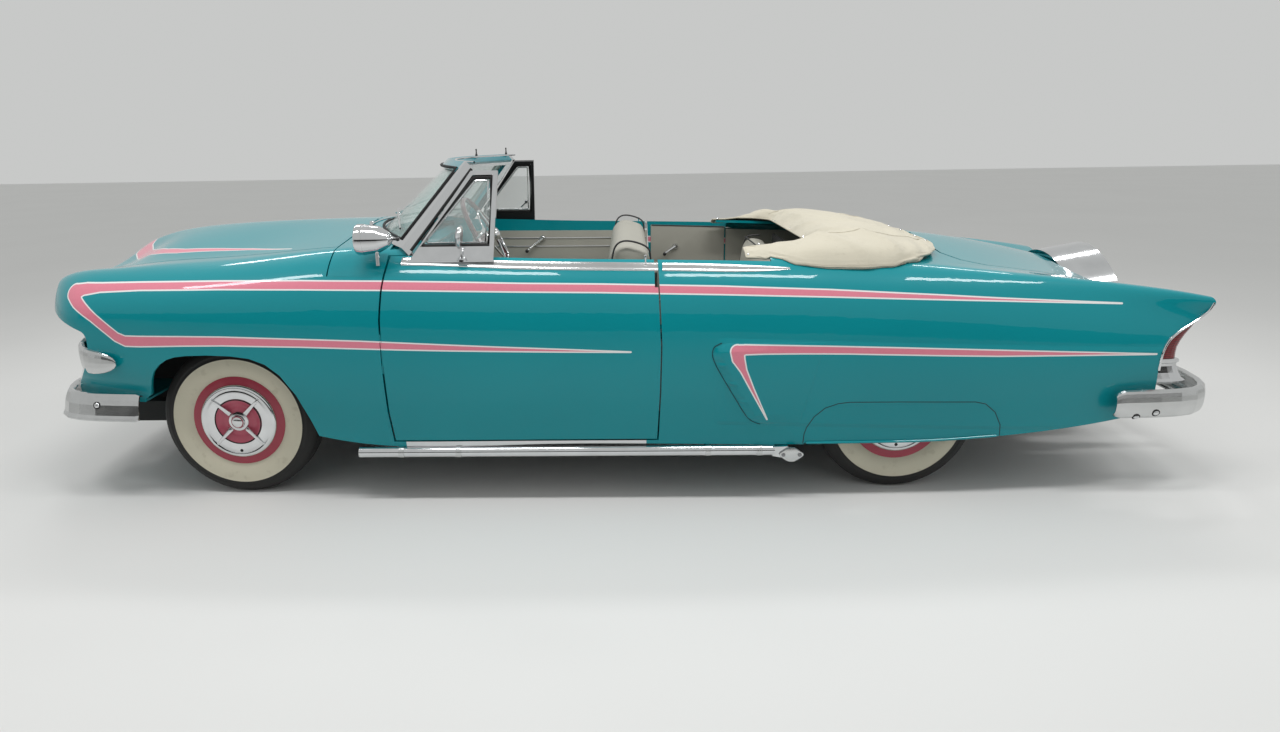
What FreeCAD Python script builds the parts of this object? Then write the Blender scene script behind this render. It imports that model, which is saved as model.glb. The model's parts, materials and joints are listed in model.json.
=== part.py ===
import FreeCAD, Part
import math
import os
import Sketcher
from FreeCAD import Placement, Rotation, Vector

# Two-door convertible car in millimetres.
# +X points forward, +Y to the car's left and +Z up. The ground is at Z = 0 and
# the origin lies on the ground under the middle of the car's length and width.

doc = FreeCAD.newDocument("ConvertibleCar")

# Driving dimensions, one cell each in the sheet
DIMENSIONS = {
    "wheelbase": 2921,
    "front_axle_x": 1700,
    "front_wheel_inset": 193.5,
    "rear_wheel_inset": 219,
    "tyre_radius": 345,
    "tyre_width": 172,
    "rim_radius": 205,
    "rim_width": 140,
    "bead_radius": 190,
    "wheel_cover_radius": 168,
    "drum_radius": 140,
    "spindle_radius": 16,
    "running_gap": 0.3,
    "kingpin_inset": 112.5,
    "kingpin_radius": 14,
    "knuckle_height": 240,
    "skin": 14,
    "panel_gap": 6,
    "seat_gap": 0.3,
    "door_depth": 144,
    "cabin_front_x": 1060,
    "cabin_floor_z": 330,
    "floor_thickness": 14,
    "sill_top_z": 372,
    "door_front_x": 988,
    "door_rear_x": -175,
    "door_bottom_z": 285,
    "door_hinge_x": 991.3,
    "door_hinge_y": 938.5,
    "door_hinge_z": 680,
    "door_hinge_length": 170,
    "hood_hinge_x": 1214.7,
    "hood_hinge_z": 1156.5,
    "lid_hinge_x": -1451.7,
    "lid_hinge_z": 1052.5,
    "lid_hinge_y": 35,
    "hood_hinge_y": 35,
    "panel_hinge_length": 60,
    "hinge_gap": 8,
    "hinge_pin_radius": 1.6,
    "hinge_barrel_radius": 3,
    "door_step": 24,
    "door_step_y": 900,
    "hood_front_x": 2512,
    "hood_rear_x": 1218,
    "hood_half_front": 565,
    "hood_half_rear": 690,
    "hood_skin": 16,
    "lid_corner": 150,
    "wheel_housing_radius": 392,
    "housing_skin": 8,
    "firewall_x": 1190,
    "firewall_thickness": 14,
    "deck_opening_x": -1330,
    "lid_front_x": -1455,
    "lid_rear_x": -2110,
    "lid_half_front": 640,
    "lid_half_rear": 560,
    "trunk_floor_z": 545,
    "rear_panel_x": -2150,
    "rear_panel_half": 640,
    "deck_front_x": -560,
    "deck_half": 705,
    "boot_well_half": 610,
    "lining_end_x": -640,
    "seat_riser_x": -850,
    "frame_front_x": 2440,
    "frame_rear_x": -2280,
    "frame_rail_height": 100,
    "frame_rail_width": 76,
    "frame_rear_y": 430,
    "frame_front_y": 384,
    "frame_kick_z": 452,
    "bumper_front_x": 2590,
    "bumper_rear_x": -2590,
    "bumper_front_z": 444,
    "bumper_rear_z": 424,
    "grille_z": 645,
    "grille_height": 116,
    "lamp_y": 652,
    "lamp_z": 880,
    "lamp_radius": 96,
    "lamp_wall": 7,
    "lamp_recess": 92,
    "nose_turn_y": 700,
    "nose_panel_x": 2470,
    "nose_panel_half": 540,
    "glass_thickness": 7,
    "header_z": 1452,
    "pillar_thickness": 44,
    "steer_wheel_radius": 215,
    "steer_tube_radius": 22,
    "steer_wheel_x": 612,
    "steer_wheel_y": 380,
    "steer_wheel_z": 1094,
    "column_rake_deg": 30,
    "steer_rim_radius": 11,
    "seat_side_gap": 180,
    "spare_radius": 362,
    "spare_width": 215,
    "spare_x": -2307,
    "spare_z": 612,
    "spare_lean_deg": 10,
    "spare_skin": 8,
    "side_pipe_radius": 24,
    "side_pipe_z": 230,
    "side_pipe_front_x": 1136,
    "side_pipe_rear_x": -664,
    "side_pipe_y": 905,
    "axle_tube_radius": 38,
    "spring_y": 505,
    "spring_half_width": 30,
    "spring_front_reach": 681,
    "engine_length": 640,
    "engine_width": 560,
    "engine_height": 560,
    "tow_bore_radius": 11,
    "hitch_bore_radius": 9.5,
    "spotlight_radius": 62,
    "spotlight_x": 1000,
    "spotlight_y": 866,
    "spotlight_z": 1150,
}

# Stations of the body, from the nose to the tip of the fin. Each row gives the
# place along the car and, for the left half of the section, half width and
# height of the sill, the widest point, the shoulder, the crown of the fender,
# the valley beside it, the bulge of the hood, and the height on the centre line.
STATION_KEYS = (
    "station_x", "sill_y", "sill_z", "side_y", "side_z", "shoulder_y", "shoulder_z",
    "crown_y", "crown_z", "valley_y", "valley_z", "bulge_y", "bulge_z", "centre_z",
)
STATIONS = {
    "nose": (2520, 650, 462, 704, 760, 694, 886, 640, 940, 545, 948, 270, 948, 962),
    "brow": (2450, 738, 462, 792, 757, 772, 898, 690, 984, 560, 974, 275, 970, 1040),
    "lamp": (2350, 802, 462, 866, 750, 840, 914, 716, 1008, 575, 996, 290, 1000, 1086),
    "prow": (2200, 838, 456, 893, 744, 862, 930, 724, 1020, 584, 1018, 300, 1066, 1120),
    "wing": (2050, 856, 448, 908, 740, 872, 940, 728, 1030, 592, 1038, 300, 1096, 1136),
    "axle": (1700, 882, 400, 930, 730, 882, 960, 738, 1050, 614, 1062, 300, 1114, 1153),
    "cowl": (1200, 902, 282, 941, 722, 884, 990, 762, 1086, 662, 1104, 335, 1137, 1160),
    "door": (400, 906, 262, 944, 720, 888, 975, 790, 1063, 690, 1086, 348, 1119, 1140),
    "latch": (-400, 906, 258, 943, 715, 888, 958, 795, 1040, 690, 1060, 346, 1088, 1105),
    "haunch": (-1221, 892, 256, 930, 702, 874, 926, 790, 1004, 680, 1020, 340, 1053, 1076),
    "deck": (-1750, 872, 286, 906, 690, 854, 886, 785, 956, 655, 954, 318, 986, 1014),
    "tail": (-2200, 842, 352, 872, 680, 834, 836, 778, 904, 600, 872, 275, 887, 912),
    "tip": (-2510, 816, 430, 838, 680, 826, 796, 798, 848, 560, 790, 233, 800, 830),
}

sheet = doc.addObject("Spreadsheet::Sheet", "Sizes")


def fill_sheet():
    """Write every driving dimension into its own cell, with its name as alias."""
    rows = dict(DIMENSIONS)
    for station, numbers in STATIONS.items():
        for key, number in zip(STATION_KEYS, numbers):
            rows[station + "_" + key] = number
    for row, (name, number) in enumerate(rows.items(), start=1):
        sheet.set("A%d" % row, name)
        sheet.set("B%d" % row, repr(number))
        sheet.setAlias("B%d" % row, name)
    doc.recompute()


class Size:
    """A length that carries its number and the sheet expression it comes from."""

    def __init__(self, number, text):
        self.number = float(number)
        self.text = text

    def __float__(self):
        return self.number

    def __neg__(self):
        return Size(-self.number, "-(%s)" % self.text)

    def __add__(self, other):
        other = as_size(other)
        return Size(self.number + other.number, "(%s + %s)" % (self.text, other.text))

    def __sub__(self, other):
        other = as_size(other)
        return Size(self.number - other.number, "(%s - %s)" % (self.text, other.text))

    def __mul__(self, other):
        other = as_size(other)
        return Size(self.number * other.number, "(%s * %s)" % (self.text, other.text))

    def __truediv__(self, other):
        other = as_size(other)
        return Size(self.number / other.number, "(%s / %s)" % (self.text, other.text))

    def __radd__(self, other):
        return as_size(other) + self

    def __rsub__(self, other):
        return as_size(other) - self

    def __rmul__(self, other):
        return as_size(other) * self


def as_size(value):
    """Give a plain number the same form as a size from the sheet."""
    if isinstance(value, Size):
        return value
    return Size(value, "(%r)" % float(value))


def cell(name):
    """Read one driving dimension from the sheet."""
    return Size(sheet.get(name), "Sizes." + name)


fill_sheet()
FRONT_AXLE = cell("front_axle_x")
REAR_AXLE = FRONT_AXLE - cell("wheelbase")
FRONT_HALF = cell("axle_side_y") - cell("front_wheel_inset")
REAR_HALF = cell("haunch_side_y") - cell("rear_wheel_inset")
KINGPIN_Y = FRONT_HALF - cell("kingpin_inset")
CABIN_HALF = cell("door_side_y") - cell("door_depth")
GAP = cell("panel_gap")
GAP_NUMBER = float(GAP)
REST = cell("seat_gap")
REST_NUMBER = float(REST)
LEFT, RIGHT = 1, -1
SIDES = {"left": LEFT, "right": RIGHT}
nodes = {}


def vec(x_value, y_value, z_value):
    """Vector from numbers or sizes."""
    return Vector(float(x_value), float(y_value), float(z_value))


def keep(name, item):
    """Register a finished sub-part under the name of its node."""
    item.Label = name
    nodes[name] = item
    return item


def feature(name, shape):
    """Sub-part whose surface is made with the shape functions."""
    item = doc.addObject("Part::Feature", name)
    item.Shape = shape
    return keep(name, item)


def bind(item, sizes):
    """Bind properties of an object to expressions on the sheet."""
    for prop, value in sizes.items():
        item.setExpression(prop, as_size(value).text)


def place(item, x_value, y_value, z_value, rotation=None):
    """Put an object at a point given by sizes, turned by a fixed rotation."""
    item.Placement = Placement(vec(x_value, y_value, z_value), rotation or Rotation())
    bind(item, {
        ".Placement.Base.x": x_value,
        ".Placement.Base.y": y_value,
        ".Placement.Base.z": z_value,
    })
    return item


def box(name, low, high):
    """Part box between two corners given by sizes."""
    item = doc.addObject("Part::Box", name)
    lengths = [as_size(high[axis]) - as_size(low[axis]) for axis in range(3)]
    bind(item, {"Length": lengths[0], "Width": lengths[1], "Height": lengths[2]})
    return place(item, low[0], low[1], low[2])


def cylinder(name, centre, radius, length, direction="z"):
    """Part cylinder that starts at a point and runs along one axis."""
    turns = {
        "x": Rotation(Vector(0, 1, 0), 90),
        "y": Rotation(Vector(1, 0, 0), -90),
        "z": Rotation(),
    }
    item = doc.addObject("Part::Cylinder", name)
    bind(item, {"Radius": radius, "Height": length})
    return place(item, centre[0], centre[1], centre[2], turns[direction])


def fuse(name, items):
    """Fused sub-part of several objects."""
    item = doc.addObject("Part::MultiFuse", name)
    item.Shapes = items
    return item


def origin_plane(body, role):
    """Origin plane of a body, found by its role."""
    return [item for item in body.Origin.OriginFeatures if item.Role == role][0]


def outline_sketch(body, name, role, points):
    """Closed outline of straight runs, each corner bound to the sheet."""
    sketch = body.newObject("Sketcher::SketchObject", name)
    sketch.AttachmentSupport = [(origin_plane(body, role), "")]
    sketch.MapMode = "FlatFace"
    corners = [Vector(float(point[0]), float(point[1]), 0) for point in points]
    count = len(corners)
    for index in range(count):
        sketch.addGeometry(Part.LineSegment(corners[index], corners[(index + 1) % count]))
    for index in range(count):
        sketch.addConstraint(Sketcher.Constraint("Coincident", index, 2, (index + 1) % count, 1))
    for index, point in enumerate(points):
        for kind, value in (("DistanceX", point[0]), ("DistanceY", point[1])):
            constraint = Sketcher.Constraint(kind, -1, 1, index, 1, float(value))
            label = "%s%d" % (kind, index)
            sketch.renameConstraint(sketch.addConstraint(constraint), label)
            sketch.setExpression("Constraints." + label, as_size(value).text)
    return sketch


def turned(name, points, role="XY_Plane"):
    """Body revolved about the upright axis of a plane from (radius, height) points."""
    body = doc.addObject("PartDesign::Body", name)
    sketch = outline_sketch(body, name + "_profile", role, points)
    turn = body.newObject("PartDesign::Revolution", name + "_turn")
    turn.Profile = sketch
    turn.ReferenceAxis = (sketch, ["V_Axis"])
    turn.Angle = 360
    return body


def padded(name, role, points, length):
    """Body padded evenly to both sides of an origin plane."""
    body = doc.addObject("PartDesign::Body", name)
    sketch = outline_sketch(body, name + "_outline", role, points)
    pad = body.newObject("PartDesign::Pad", name + "_pad")
    pad.Profile = sketch
    pad.Midplane = True
    bind(pad, {"Length": length})
    return body


def side_prism(points, low, high):
    """Solid from an outline of (x, z) points, between two values of Y."""
    corners = [vec(point[0], low, point[1]) for point in points]
    return extruded(corners, Vector(0, float(high) - float(low), 0))


def plan_prism(points, low, high):
    """Solid from an outline of (x, y) points, between two heights."""
    corners = [vec(point[0], point[1], low) for point in points]
    return extruded(corners, Vector(0, 0, float(high) - float(low)))


def extruded(corners, path):
    """Extrude a closed outline of straight runs."""
    return Part.Face(Part.makePolygon(corners + [corners[0]])).extrude(path)


def block(low, high):
    """Plain box shape used as a cutter."""
    size = [float(high[axis]) - float(low[axis]) for axis in range(3)]
    return Part.makeBox(size[0], size[1], size[2], vec(low[0], low[1], low[2]))


def smooth(points):
    """Edge through points."""
    curve = Part.BSplineCurve()
    curve.interpolate(points)
    return curve.toShape()


# Body surface

def half_section(station, inset):
    """Points of the left half of one section, moved inwards by the inset."""
    value = {key: float(cell(station + "_" + key)) for key in STATION_KEYS}
    sill_rise = value["side_z"] - value["sill_z"]
    rows = (
        (value["sill_y"], value["sill_z"], 1, -1),
        (value["sill_y"] + 0.72 * (value["side_y"] - value["sill_y"]),
         value["sill_z"] + 0.42 * sill_rise, 1, 0),
        (value["side_y"], value["side_z"], 1, 0),
        (value["shoulder_y"], value["shoulder_z"], 1, 0.35),
        (value["crown_y"], value["crown_z"], 0.1, 1),
        (value["valley_y"], value["valley_z"], 0, 1),
        (value["bulge_y"], value["bulge_z"], 0, 1),
        (0.0, value["centre_z"], 0, 1),
    )
    return value["station_x"], [
        (y_value - inset * y_sign, z_value - inset * z_sign)
        for y_value, z_value, y_sign, z_sign in rows
    ]


def section_wire(station, inset):
    """Closed wire of the left half of one section."""
    x_value, rows = half_section(station, inset)
    points = [Vector(x_value, y_value, z_value) for y_value, z_value in rows]
    curve = Part.BSplineCurve()
    curve.interpolate(
        Points=points, Parameters=SECTION_KNOTS, InitialTangent=Vector(0, 0.12, 1),
        FinalTangent=Vector(0, -1, 0))
    foot = Vector(x_value, 0, points[0].z)
    edges = [
        curve.toShape(),
        Part.LineSegment(points[-1], foot).toShape(),
        Part.LineSegment(foot, points[0]).toShape(),
    ]
    return Part.Wire(edges)


def half_loft(inset):
    """Solid of the left half of the body surface, moved inwards by the inset."""
    wires = [section_wire(station, inset) for station in STATIONS]
    return Part.makeLoft(wires, True, False)


def both(shape):
    """Shape joined with its mirror image across the centre plane."""
    return shape.fuse(mirrored(shape)).removeSplitter()


def mirrored(shape):
    """Mirror image across the centre plane."""
    return shape.mirror(Vector(0, 0, 0), Vector(0, 1, 0))


def add_pair(name, shape):
    """Left sub-part and its mirror image, as two nodes."""
    feature(name + "_left", shape)
    feature(name + "_right", mirrored(shape))


def curved_outline(rows, corners):
    """Closed outline of (x, z) points: one smooth curve, then straight corners."""
    curve = smooth([Vector(x_value, 0, z_value) for x_value, z_value in rows])
    ends = [Vector(x_value, 0, z_value) for x_value, z_value in [rows[-1]] + corners + [rows[0]]]
    return Part.Face(Part.Wire([curve] + Part.makePolygon(ends).Edges))


def nose_keeper(inset):
    """Space behind the rounded nose of the fenders, swept back on its outer side."""
    rows = [
        (2126, 1034), (2250, 1024), (2340, 1016), (2400, 1007), (2438, 996), (2473, 973),
        (2502, 937), (2517, 889), (2520, 850), (2514, 820), (2498, 792), (2470, 767),
        (2440, 748), (2418, 734), (2408, 712), (2406, 680), (2412, 640), (2430, 590),
        (2454, 535), (2468, 490), (2462, 455),
    ]
    rows = [(x_value - inset, z_value) for x_value, z_value in rows]
    corners = [(2300, 420), (2230, 150), (-FAR, 150), (-FAR, TOP), (2126 - inset, TOP)]
    face = curved_outline(rows, corners)
    turn = float(cell("nose_turn_y"))
    middle = face.extrude(Vector(0, turn, 0))
    face.translate(Vector(0, turn, 0))
    return middle.fuse(face.extrude(NOSE_SWEEP * (FAR / 10)))


def tail_keeper(inset):
    """Space ahead of the rear edge of the fins."""
    rows = [
        (-2262, 560), (-2260, 608), (-2266, 652), (-2285, 693), (-2333, 728), (-2383, 757),
        (-2424, 784), (-2454, 812), (-2470, 836), (-2466, 852), (-2446, 872),
    ]
    rows = [(x_value + inset, z_value) for x_value, z_value in rows]
    corners = [(-2400, TOP), (FAR, TOP), (FAR, 150), (-2180, 150), (-2276 + inset, 420)]
    return curved_outline(rows, corners).extrude(Vector(0, FAR, 0))


def body_solid(inset):
    """Left half of the body with its rounded nose and its fin."""
    return half_loft(inset).common(nose_keeper(inset)).common(tail_keeper(inset))


SECTION_KNOTS = [0.0, 0.16, 0.36, 0.56, 0.7, 0.8, 0.9, 1.0]
FAR = 3000
TOP = 1400
NOSE_SWEEP = Vector(-0.71, 1, 0.21)
BODY = body_solid(0)
CORE = body_solid(float(cell("skin")))
SHELL = BODY.cut(CORE)
THICK_SHELL = half_loft(0).cut(half_loft(float(cell("hood_skin"))))


def hood_plan(margin):
    """Plan outline of the hood, grown by a margin, with the hinge gap behind."""
    rear = float(cell("hood_rear_x"))
    if margin:
        rear -= float(cell("hinge_gap"))
    front = 2600
    half_rear = float(cell("hood_half_rear")) + margin
    half_front = float(cell("hood_half_front")) + margin
    return [(rear, -half_rear), (rear, half_rear), (front, half_front), (front, -half_front)]


def lid_plan(margin):
    """Plan outline of the deck lid, grown by a margin, with the hinge gap in front."""
    front = float(cell("lid_front_x"))
    if margin:
        front += float(cell("hinge_gap"))
    rear = float(cell("lid_rear_x")) - margin
    half_front = float(cell("lid_half_front")) + margin
    half_rear = float(cell("lid_half_rear")) + margin
    corner = float(cell("lid_corner"))
    return [
        (front, -half_front + corner), (front, half_front - corner),
        (front - corner * 0.35, half_front - corner * 0.3),
        (front - corner, half_front), (rear, half_rear), (rear, -half_rear),
        (front - corner, -half_front),
        (front - corner * 0.35, -half_front + corner * 0.3),
    ]


def door_outline(margin):
    """Side outline of a door opening, grown by a margin, with the hinge gap in front."""
    front = float(cell("door_front_x"))
    if margin:
        front += float(cell("hinge_gap"))
    rear = float(cell("door_rear_x")) - margin
    low = float(cell("door_bottom_z")) - margin
    return [
        (front - 16, low), (front - 4, 420), (front, 620), (front, 820),
        (front - 12, 950), (front - 50, 1200), (rear + 24, 1200), (rear + 8, 900),
        (rear, 700), (rear + 4, 500), (rear + 14, low),
    ]


def wheel_arch_front():
    """Side outline of the front wheel opening."""
    axle = float(FRONT_AXLE)
    return [
        (axle + 425, 380), (axle + 372, 470), (axle + 344, 490), (axle + 328, 531),
        (axle + 313, 567), (axle + 293, 603), (axle + 264, 633), (axle + 225, 658),
        (axle + 186, 670), (axle + 136, 676), (axle + 40, 679), (axle - 60, 675),
        (axle - 140, 664), (axle - 205, 638), (axle - 262, 590), (axle - 320, 500),
        (axle - 365, 380), (axle - 405, 255), (axle - 420, 100), (axle + 425, 100),
    ]


def skirt_outline(margin):
    """Side outline of the rear wheel opening, which the skirt fills."""
    axle = float(REAR_AXLE)
    return [
        (axle + 430 + margin, 150), (axle + 430 + margin, 300), (axle + 415 + margin, 370),
        (axle + 350, 432 + margin), (axle - 310, 440 + margin), (axle - 385 - margin, 390),
        (axle - 408 - margin, 320), (axle - 408 - margin, 150),
    ]


def biggest(shape):
    """Largest solid of a shape, which drops slivers of a cut."""
    solids = sorted(shape.Solids, key=lambda solid: solid.Volume)
    return solids[-1]


def hinge(point, turn, length):
    """Pin with end webs along -X, and the barrel on it with its web along +X."""
    pin = float(cell("hinge_pin_radius"))
    barrel = float(cell("hinge_barrel_radius"))
    play = float(cell("running_gap"))
    reach = float(cell("hinge_gap")) + 2
    half = length / 2
    inner = half * 0.6
    rod = Part.makeCylinder(pin, length, Vector(0, 0, -half))
    webs = [
        block((-reach, -pin, -half), (0, pin, -inner - play)),
        block((-reach, -pin, inner + play), (0, pin, half)),
    ]
    tube = Part.makeCylinder(barrel, 2 * inner, Vector(0, 0, -inner))
    tube = tube.fuse(block((0, -barrel, -inner), (reach, barrel, inner)))
    tube = tube.cut(Part.makeCylinder(pin + play, length, Vector(0, 0, -half)))
    shapes = [rod.fuse(webs), tube]
    for shape in shapes:
        shape.Placement = Placement(point, turn)
    return shapes


def door_hinge():
    """Hinge of the left door, upright in the gap ahead of it."""
    point = vec(cell("door_hinge_x"), cell("door_hinge_y"), cell("door_hinge_z"))
    return hinge(point, Rotation(Vector(0, 0, 1), 180), float(cell("door_hinge_length")))


def panel_hinges(name, turn):
    """Two hinges along Y in the gap beside the hood or the deck lid."""
    pairs = []
    for side in (LEFT, RIGHT):
        point = vec(cell(name + "_hinge_x"), cell(name + "_hinge_y") * side, cell(name + "_hinge_z"))
        pairs.append(hinge(point, turn, float(cell("panel_hinge_length"))))
    return [pair[0] for pair in pairs], [pair[1] for pair in pairs]


DOOR_LAP = 60
FORWARD = Rotation(Vector(1, 0, 0), 90)
REARWARD = Rotation(Vector(0, 0, 1), 180).multiply(Rotation(Vector(1, 0, 0), 90))


def front_fenders():
    """Left and right front fender with the recess of its headlamp."""
    gap = float(GAP)
    back = float(cell("door_front_x")) - DOOR_LAP
    nose = float(cell("nose_panel_half"))
    panel = SHELL.common(block((back, 0, 0), (FAR, FAR, TOP)))
    panel = panel.cut(side_prism(wheel_arch_front(), -FAR, FAR))
    panel = panel.cut(side_prism(door_outline(gap), -FAR, FAR))
    panel = panel.cut(block((800, -10, 0), (FAR, nose, TOP)))
    panel = panel.cut(block((800, -10, 1000), (1216, 880, TOP)))
    panel = panel.cut(block((800, -10, 0), (1600, 840, 420)))
    lamp_x = float(cell("nose_station_x")) - float(cell("lamp_recess"))
    centre = Vector(lamp_x, float(cell("lamp_y")), float(cell("lamp_z")))
    opening = float(cell("lamp_radius")) + float(cell("lamp_wall")) / 2
    wall = opening + float(cell("lamp_wall"))
    reach = Vector(30, 0, 0)
    tunnel = Part.makeCylinder(wall, 200, centre - reach * 1.5, Vector(1, 0, 0)).common(BODY)
    bore = Part.makeCylinder(opening, 300, centre - reach * 2, Vector(1, 0, 0))
    panel = panel.fuse(tunnel).cut(bore).cut(plan_prism(hood_plan(gap), 900, TOP))
    panel = biggest(panel)
    add_pair("front_fender", biggest(panel.fuse(door_hinge()[0])))


def nose_panel():
    """Panel between the fenders, with the grille opening."""
    half = float(cell("nose_panel_half")) - REST_NUMBER
    front = float(cell("nose_panel_x"))
    panel = block((front - 18, 0, 466), (front, half, 990))
    roll = side_prism([(front - 18, 925), (front, 912), (front + 36, 930), (front + 34, 952),
                       (front - 18, 950)], 0, half)
    pillar = block((front - 75, half - 35, 466), (front - 10, half, 980))
    opening = float(cell("grille_height")) / 2 + 16
    middle = float(cell("grille_z"))
    mouth = block((front - 45, -10, middle - opening), (front + 80, half + 10, middle + opening))
    below = half_loft(float(cell("hood_skin")) + float(GAP))
    half_panel = panel.fuse([roll, pillar]).cut(mouth).common(below)
    return feature("nose_panel", both(half_panel))


def hood():
    """Hood panel, hinged at its rear edge."""
    region = plan_prism(hood_plan(0), 940, TOP)
    front = block((float(cell("hood_front_x")), -FAR, 0), (FAR, FAR, TOP))
    half = biggest(THICK_SHELL.common(region).cut(front))
    return feature("hood", biggest(both(half).fuse(panel_hinges("hood", FORWARD)[1])))


def cowl():
    """Scuttle panel between the hood and the windshield, with the firewall."""
    gap = float(GAP)
    rear = float(cell("cabin_front_x")) - 90
    front = float(cell("hood_rear_x")) - float(cell("hinge_gap"))
    region = block((rear, 0, 1000 + REST_NUMBER), (front, 880 - REST_NUMBER, TOP))
    half = SHELL.common(region).cut(side_prism(door_outline(gap), -FAR, FAR))
    inner = float(CABIN_HALF)
    low = float(cell("sill_top_z")) + float(REST)
    post = block((895, inner - 39.7, low), (1000, inner - GAP_NUMBER, 1120)).common(BODY)
    wall_x = float(cell("firewall_x"))
    thick = float(cell("firewall_thickness"))
    floor = float(cell("cabin_floor_z"))
    wall = CORE.common(block((wall_x, 0, floor + REST_NUMBER), (wall_x + thick, inner - 15, 1120)))
    side_wall = block((960, inner - 20, low), (wall_x + thick, inner - GAP_NUMBER, 1040)).common(BODY)
    seat = screen_slab(0.0192, 1.2, -0.0005, -0.3, float(cell("pillar_thickness")) + 0.6)
    whole = both(biggest(half.fuse([post, wall, side_wall]).cut(seat)))
    return feature("cowl", biggest(whole.fuse(panel_hinges("hood", FORWARD)[0])))


def doors():
    """Doors, as thick as the whole door, with a step at the rear for the swing."""
    half = float(CABIN_HALF)
    step_y = float(cell("door_step_y"))
    step_x = float(cell("door_rear_x")) + float(cell("door_step"))
    region = BODY.common(side_prism(door_outline(0), half, FAR))
    region = region.cut(block((-FAR, 0, 0), (step_x, step_y, TOP)))
    add_pair("door", biggest(region.fuse(door_hinge()[1])))


def quarters():
    """Rear quarters with their fins, from the door to the tail."""
    gap = float(GAP)
    front = float(cell("door_rear_x")) + DOOR_LAP
    half = float(CABIN_HALF)
    seat_end = float(cell("lining_end_x"))
    lining = BODY.common(block((seat_end, half, 0), (front, FAR, TOP)))
    shape = lining.fuse(SHELL.common(block((-FAR, 0, 0), (seat_end, FAR, TOP))))
    shape = shape.cut(side_prism(door_outline(gap), -FAR, FAR))
    shape = shape.cut(side_prism(skirt_outline(float(REST)), -FAR, FAR))
    shape = shape.cut(plan_prism(deck_plan(0), 0, TOP))
    shape = shape.cut(block((-2250, -10, 0), (seat_end, 800, 400)))
    add_pair("quarter", biggest(shape))


def deck_plan(margin):
    """Plan outline of the deck between the quarters, left half."""
    half = float(cell("deck_half")) - margin
    front = float(cell("deck_front_x"))
    return [(front, -1), (front, half), (-FAR, half - 60), (-FAR, -1)]


def deck_panel():
    """Fixed deck between the quarters, with the opening for the folded top."""
    region = plan_prism(deck_plan(float(REST)), 700, TOP)
    rear = block((-FAR, -FAR, 0), (float(cell("rear_panel_x")) + 40, FAR, TOP))
    lid = plan_prism(lid_plan(float(GAP)), 700, TOP)
    well_half = float(cell("boot_well_half"))
    well = block((float(cell("deck_opening_x")), -well_half, 700), (FAR, well_half, TOP))
    panel = biggest(SHELL.common(region).cut(rear).cut(lid).cut(well))
    return feature("deck_panel", biggest(both(panel).fuse(panel_hinges("lid", REARWARD)[0])))


def deck_lid():
    """Deck lid, hinged at its front edge."""
    region = plan_prism(lid_plan(0), 700, TOP)
    lid = both(biggest(THICK_SHELL.common(region)))
    return feature("deck_lid", biggest(lid.fuse(panel_hinges("lid", REARWARD)[1])))


def rear_panel():
    """Upright panel between the quarters under the deck lid."""
    x_value = float(cell("rear_panel_x"))
    half = float(cell("rear_panel_half"))
    points = [
        (x_value, 470), (x_value + 16, 470), (x_value + 40, 760), (x_value + 46, 930),
        (x_value + 30, 930), (x_value + 24, 762),
    ]
    below = half_loft(float(cell("hood_skin")) + float(GAP))
    return feature("rear_panel", both(side_prism(points, 0, half).common(below)))


def skirts():
    """Skirts over both rear wheels."""
    inner = BODY.copy()
    inner.translate(Vector(0, -float(cell("skin")) - 4, 0))
    low = float(cell("haunch_sill_z")) + 2
    window = side_prism(skirt_outline(0), 780, FAR).common(block((-FAR, 780, low), (FAR, FAR, TOP)))
    panel = biggest(BODY.cut(inner).common(window))
    return feature("fender_skirts", Part.makeCompound([panel, mirrored(panel)]))


def tub():
    """Floor with its sills, tunnel and seat riser, and trunk floor with its wheel housings."""
    floor = float(cell("cabin_floor_z"))
    thick = float(cell("floor_thickness"))
    half = float(CABIN_HALF) - 10
    front = float(cell("firewall_x")) + 14
    kick = float(cell("seat_riser_x"))
    trunk = float(cell("trunk_floor_z"))
    tail = float(cell("rear_panel_x")) + 23
    axle = float(REAR_AXLE)
    wheel_y = float(REAR_HALF)
    inner = wheel_y - 150
    radius = float(cell("wheel_housing_radius"))
    housing_skin = float(cell("housing_skin"))
    level = float(cell("tyre_radius"))
    pan = block((kick, 0, floor - thick), (front, half, floor))
    sill = block((-600, half - 90, floor - 60), (960, half, float(cell("sill_top_z"))))
    riser = block((kick - thick, 0, floor - thick), (kick, inner, trunk))
    deck = block((tail, 0, trunk - thick), (kick, inner, trunk))
    bulkhead = block((kick - 30 - thick, 0, trunk), (kick - 30, inner, 985))
    outer = Part.makeCylinder(radius, 290, Vector(axle, inner - housing_skin, level), Vector(0, 1, 0))
    space = Part.makeCylinder(radius - housing_skin, 300, Vector(axle, inner, level), Vector(0, 1, 0))
    low = block((-FAR, -10, 0), (FAR, FAR, trunk - 130))
    housing = outer.cut(space).cut(low)
    wall = float(cell("firewall_x")) - REST_NUMBER
    tunnel = block((600, 0, floor - thick), (wall, 110, floor + 130)).cut(
        block((590, -1, 0), (wall + 10, 96, floor + 116)))
    pan = pan.cut(block((614, -1, 0), (wall, 96, floor + 10)))
    cap = block((600, 0, floor - thick), (614, 96, floor + 130))
    tunnel = tunnel.fuse(cap)
    rear_tub = biggest(deck.fuse([bulkhead, housing]).cut(riser))
    feature("trunk_floor", both(rear_tub))
    front_tub = biggest(pan.fuse([tunnel, sill, riser]).cut(rear_tub))
    feature("body_tub", both(front_tub))


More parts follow.
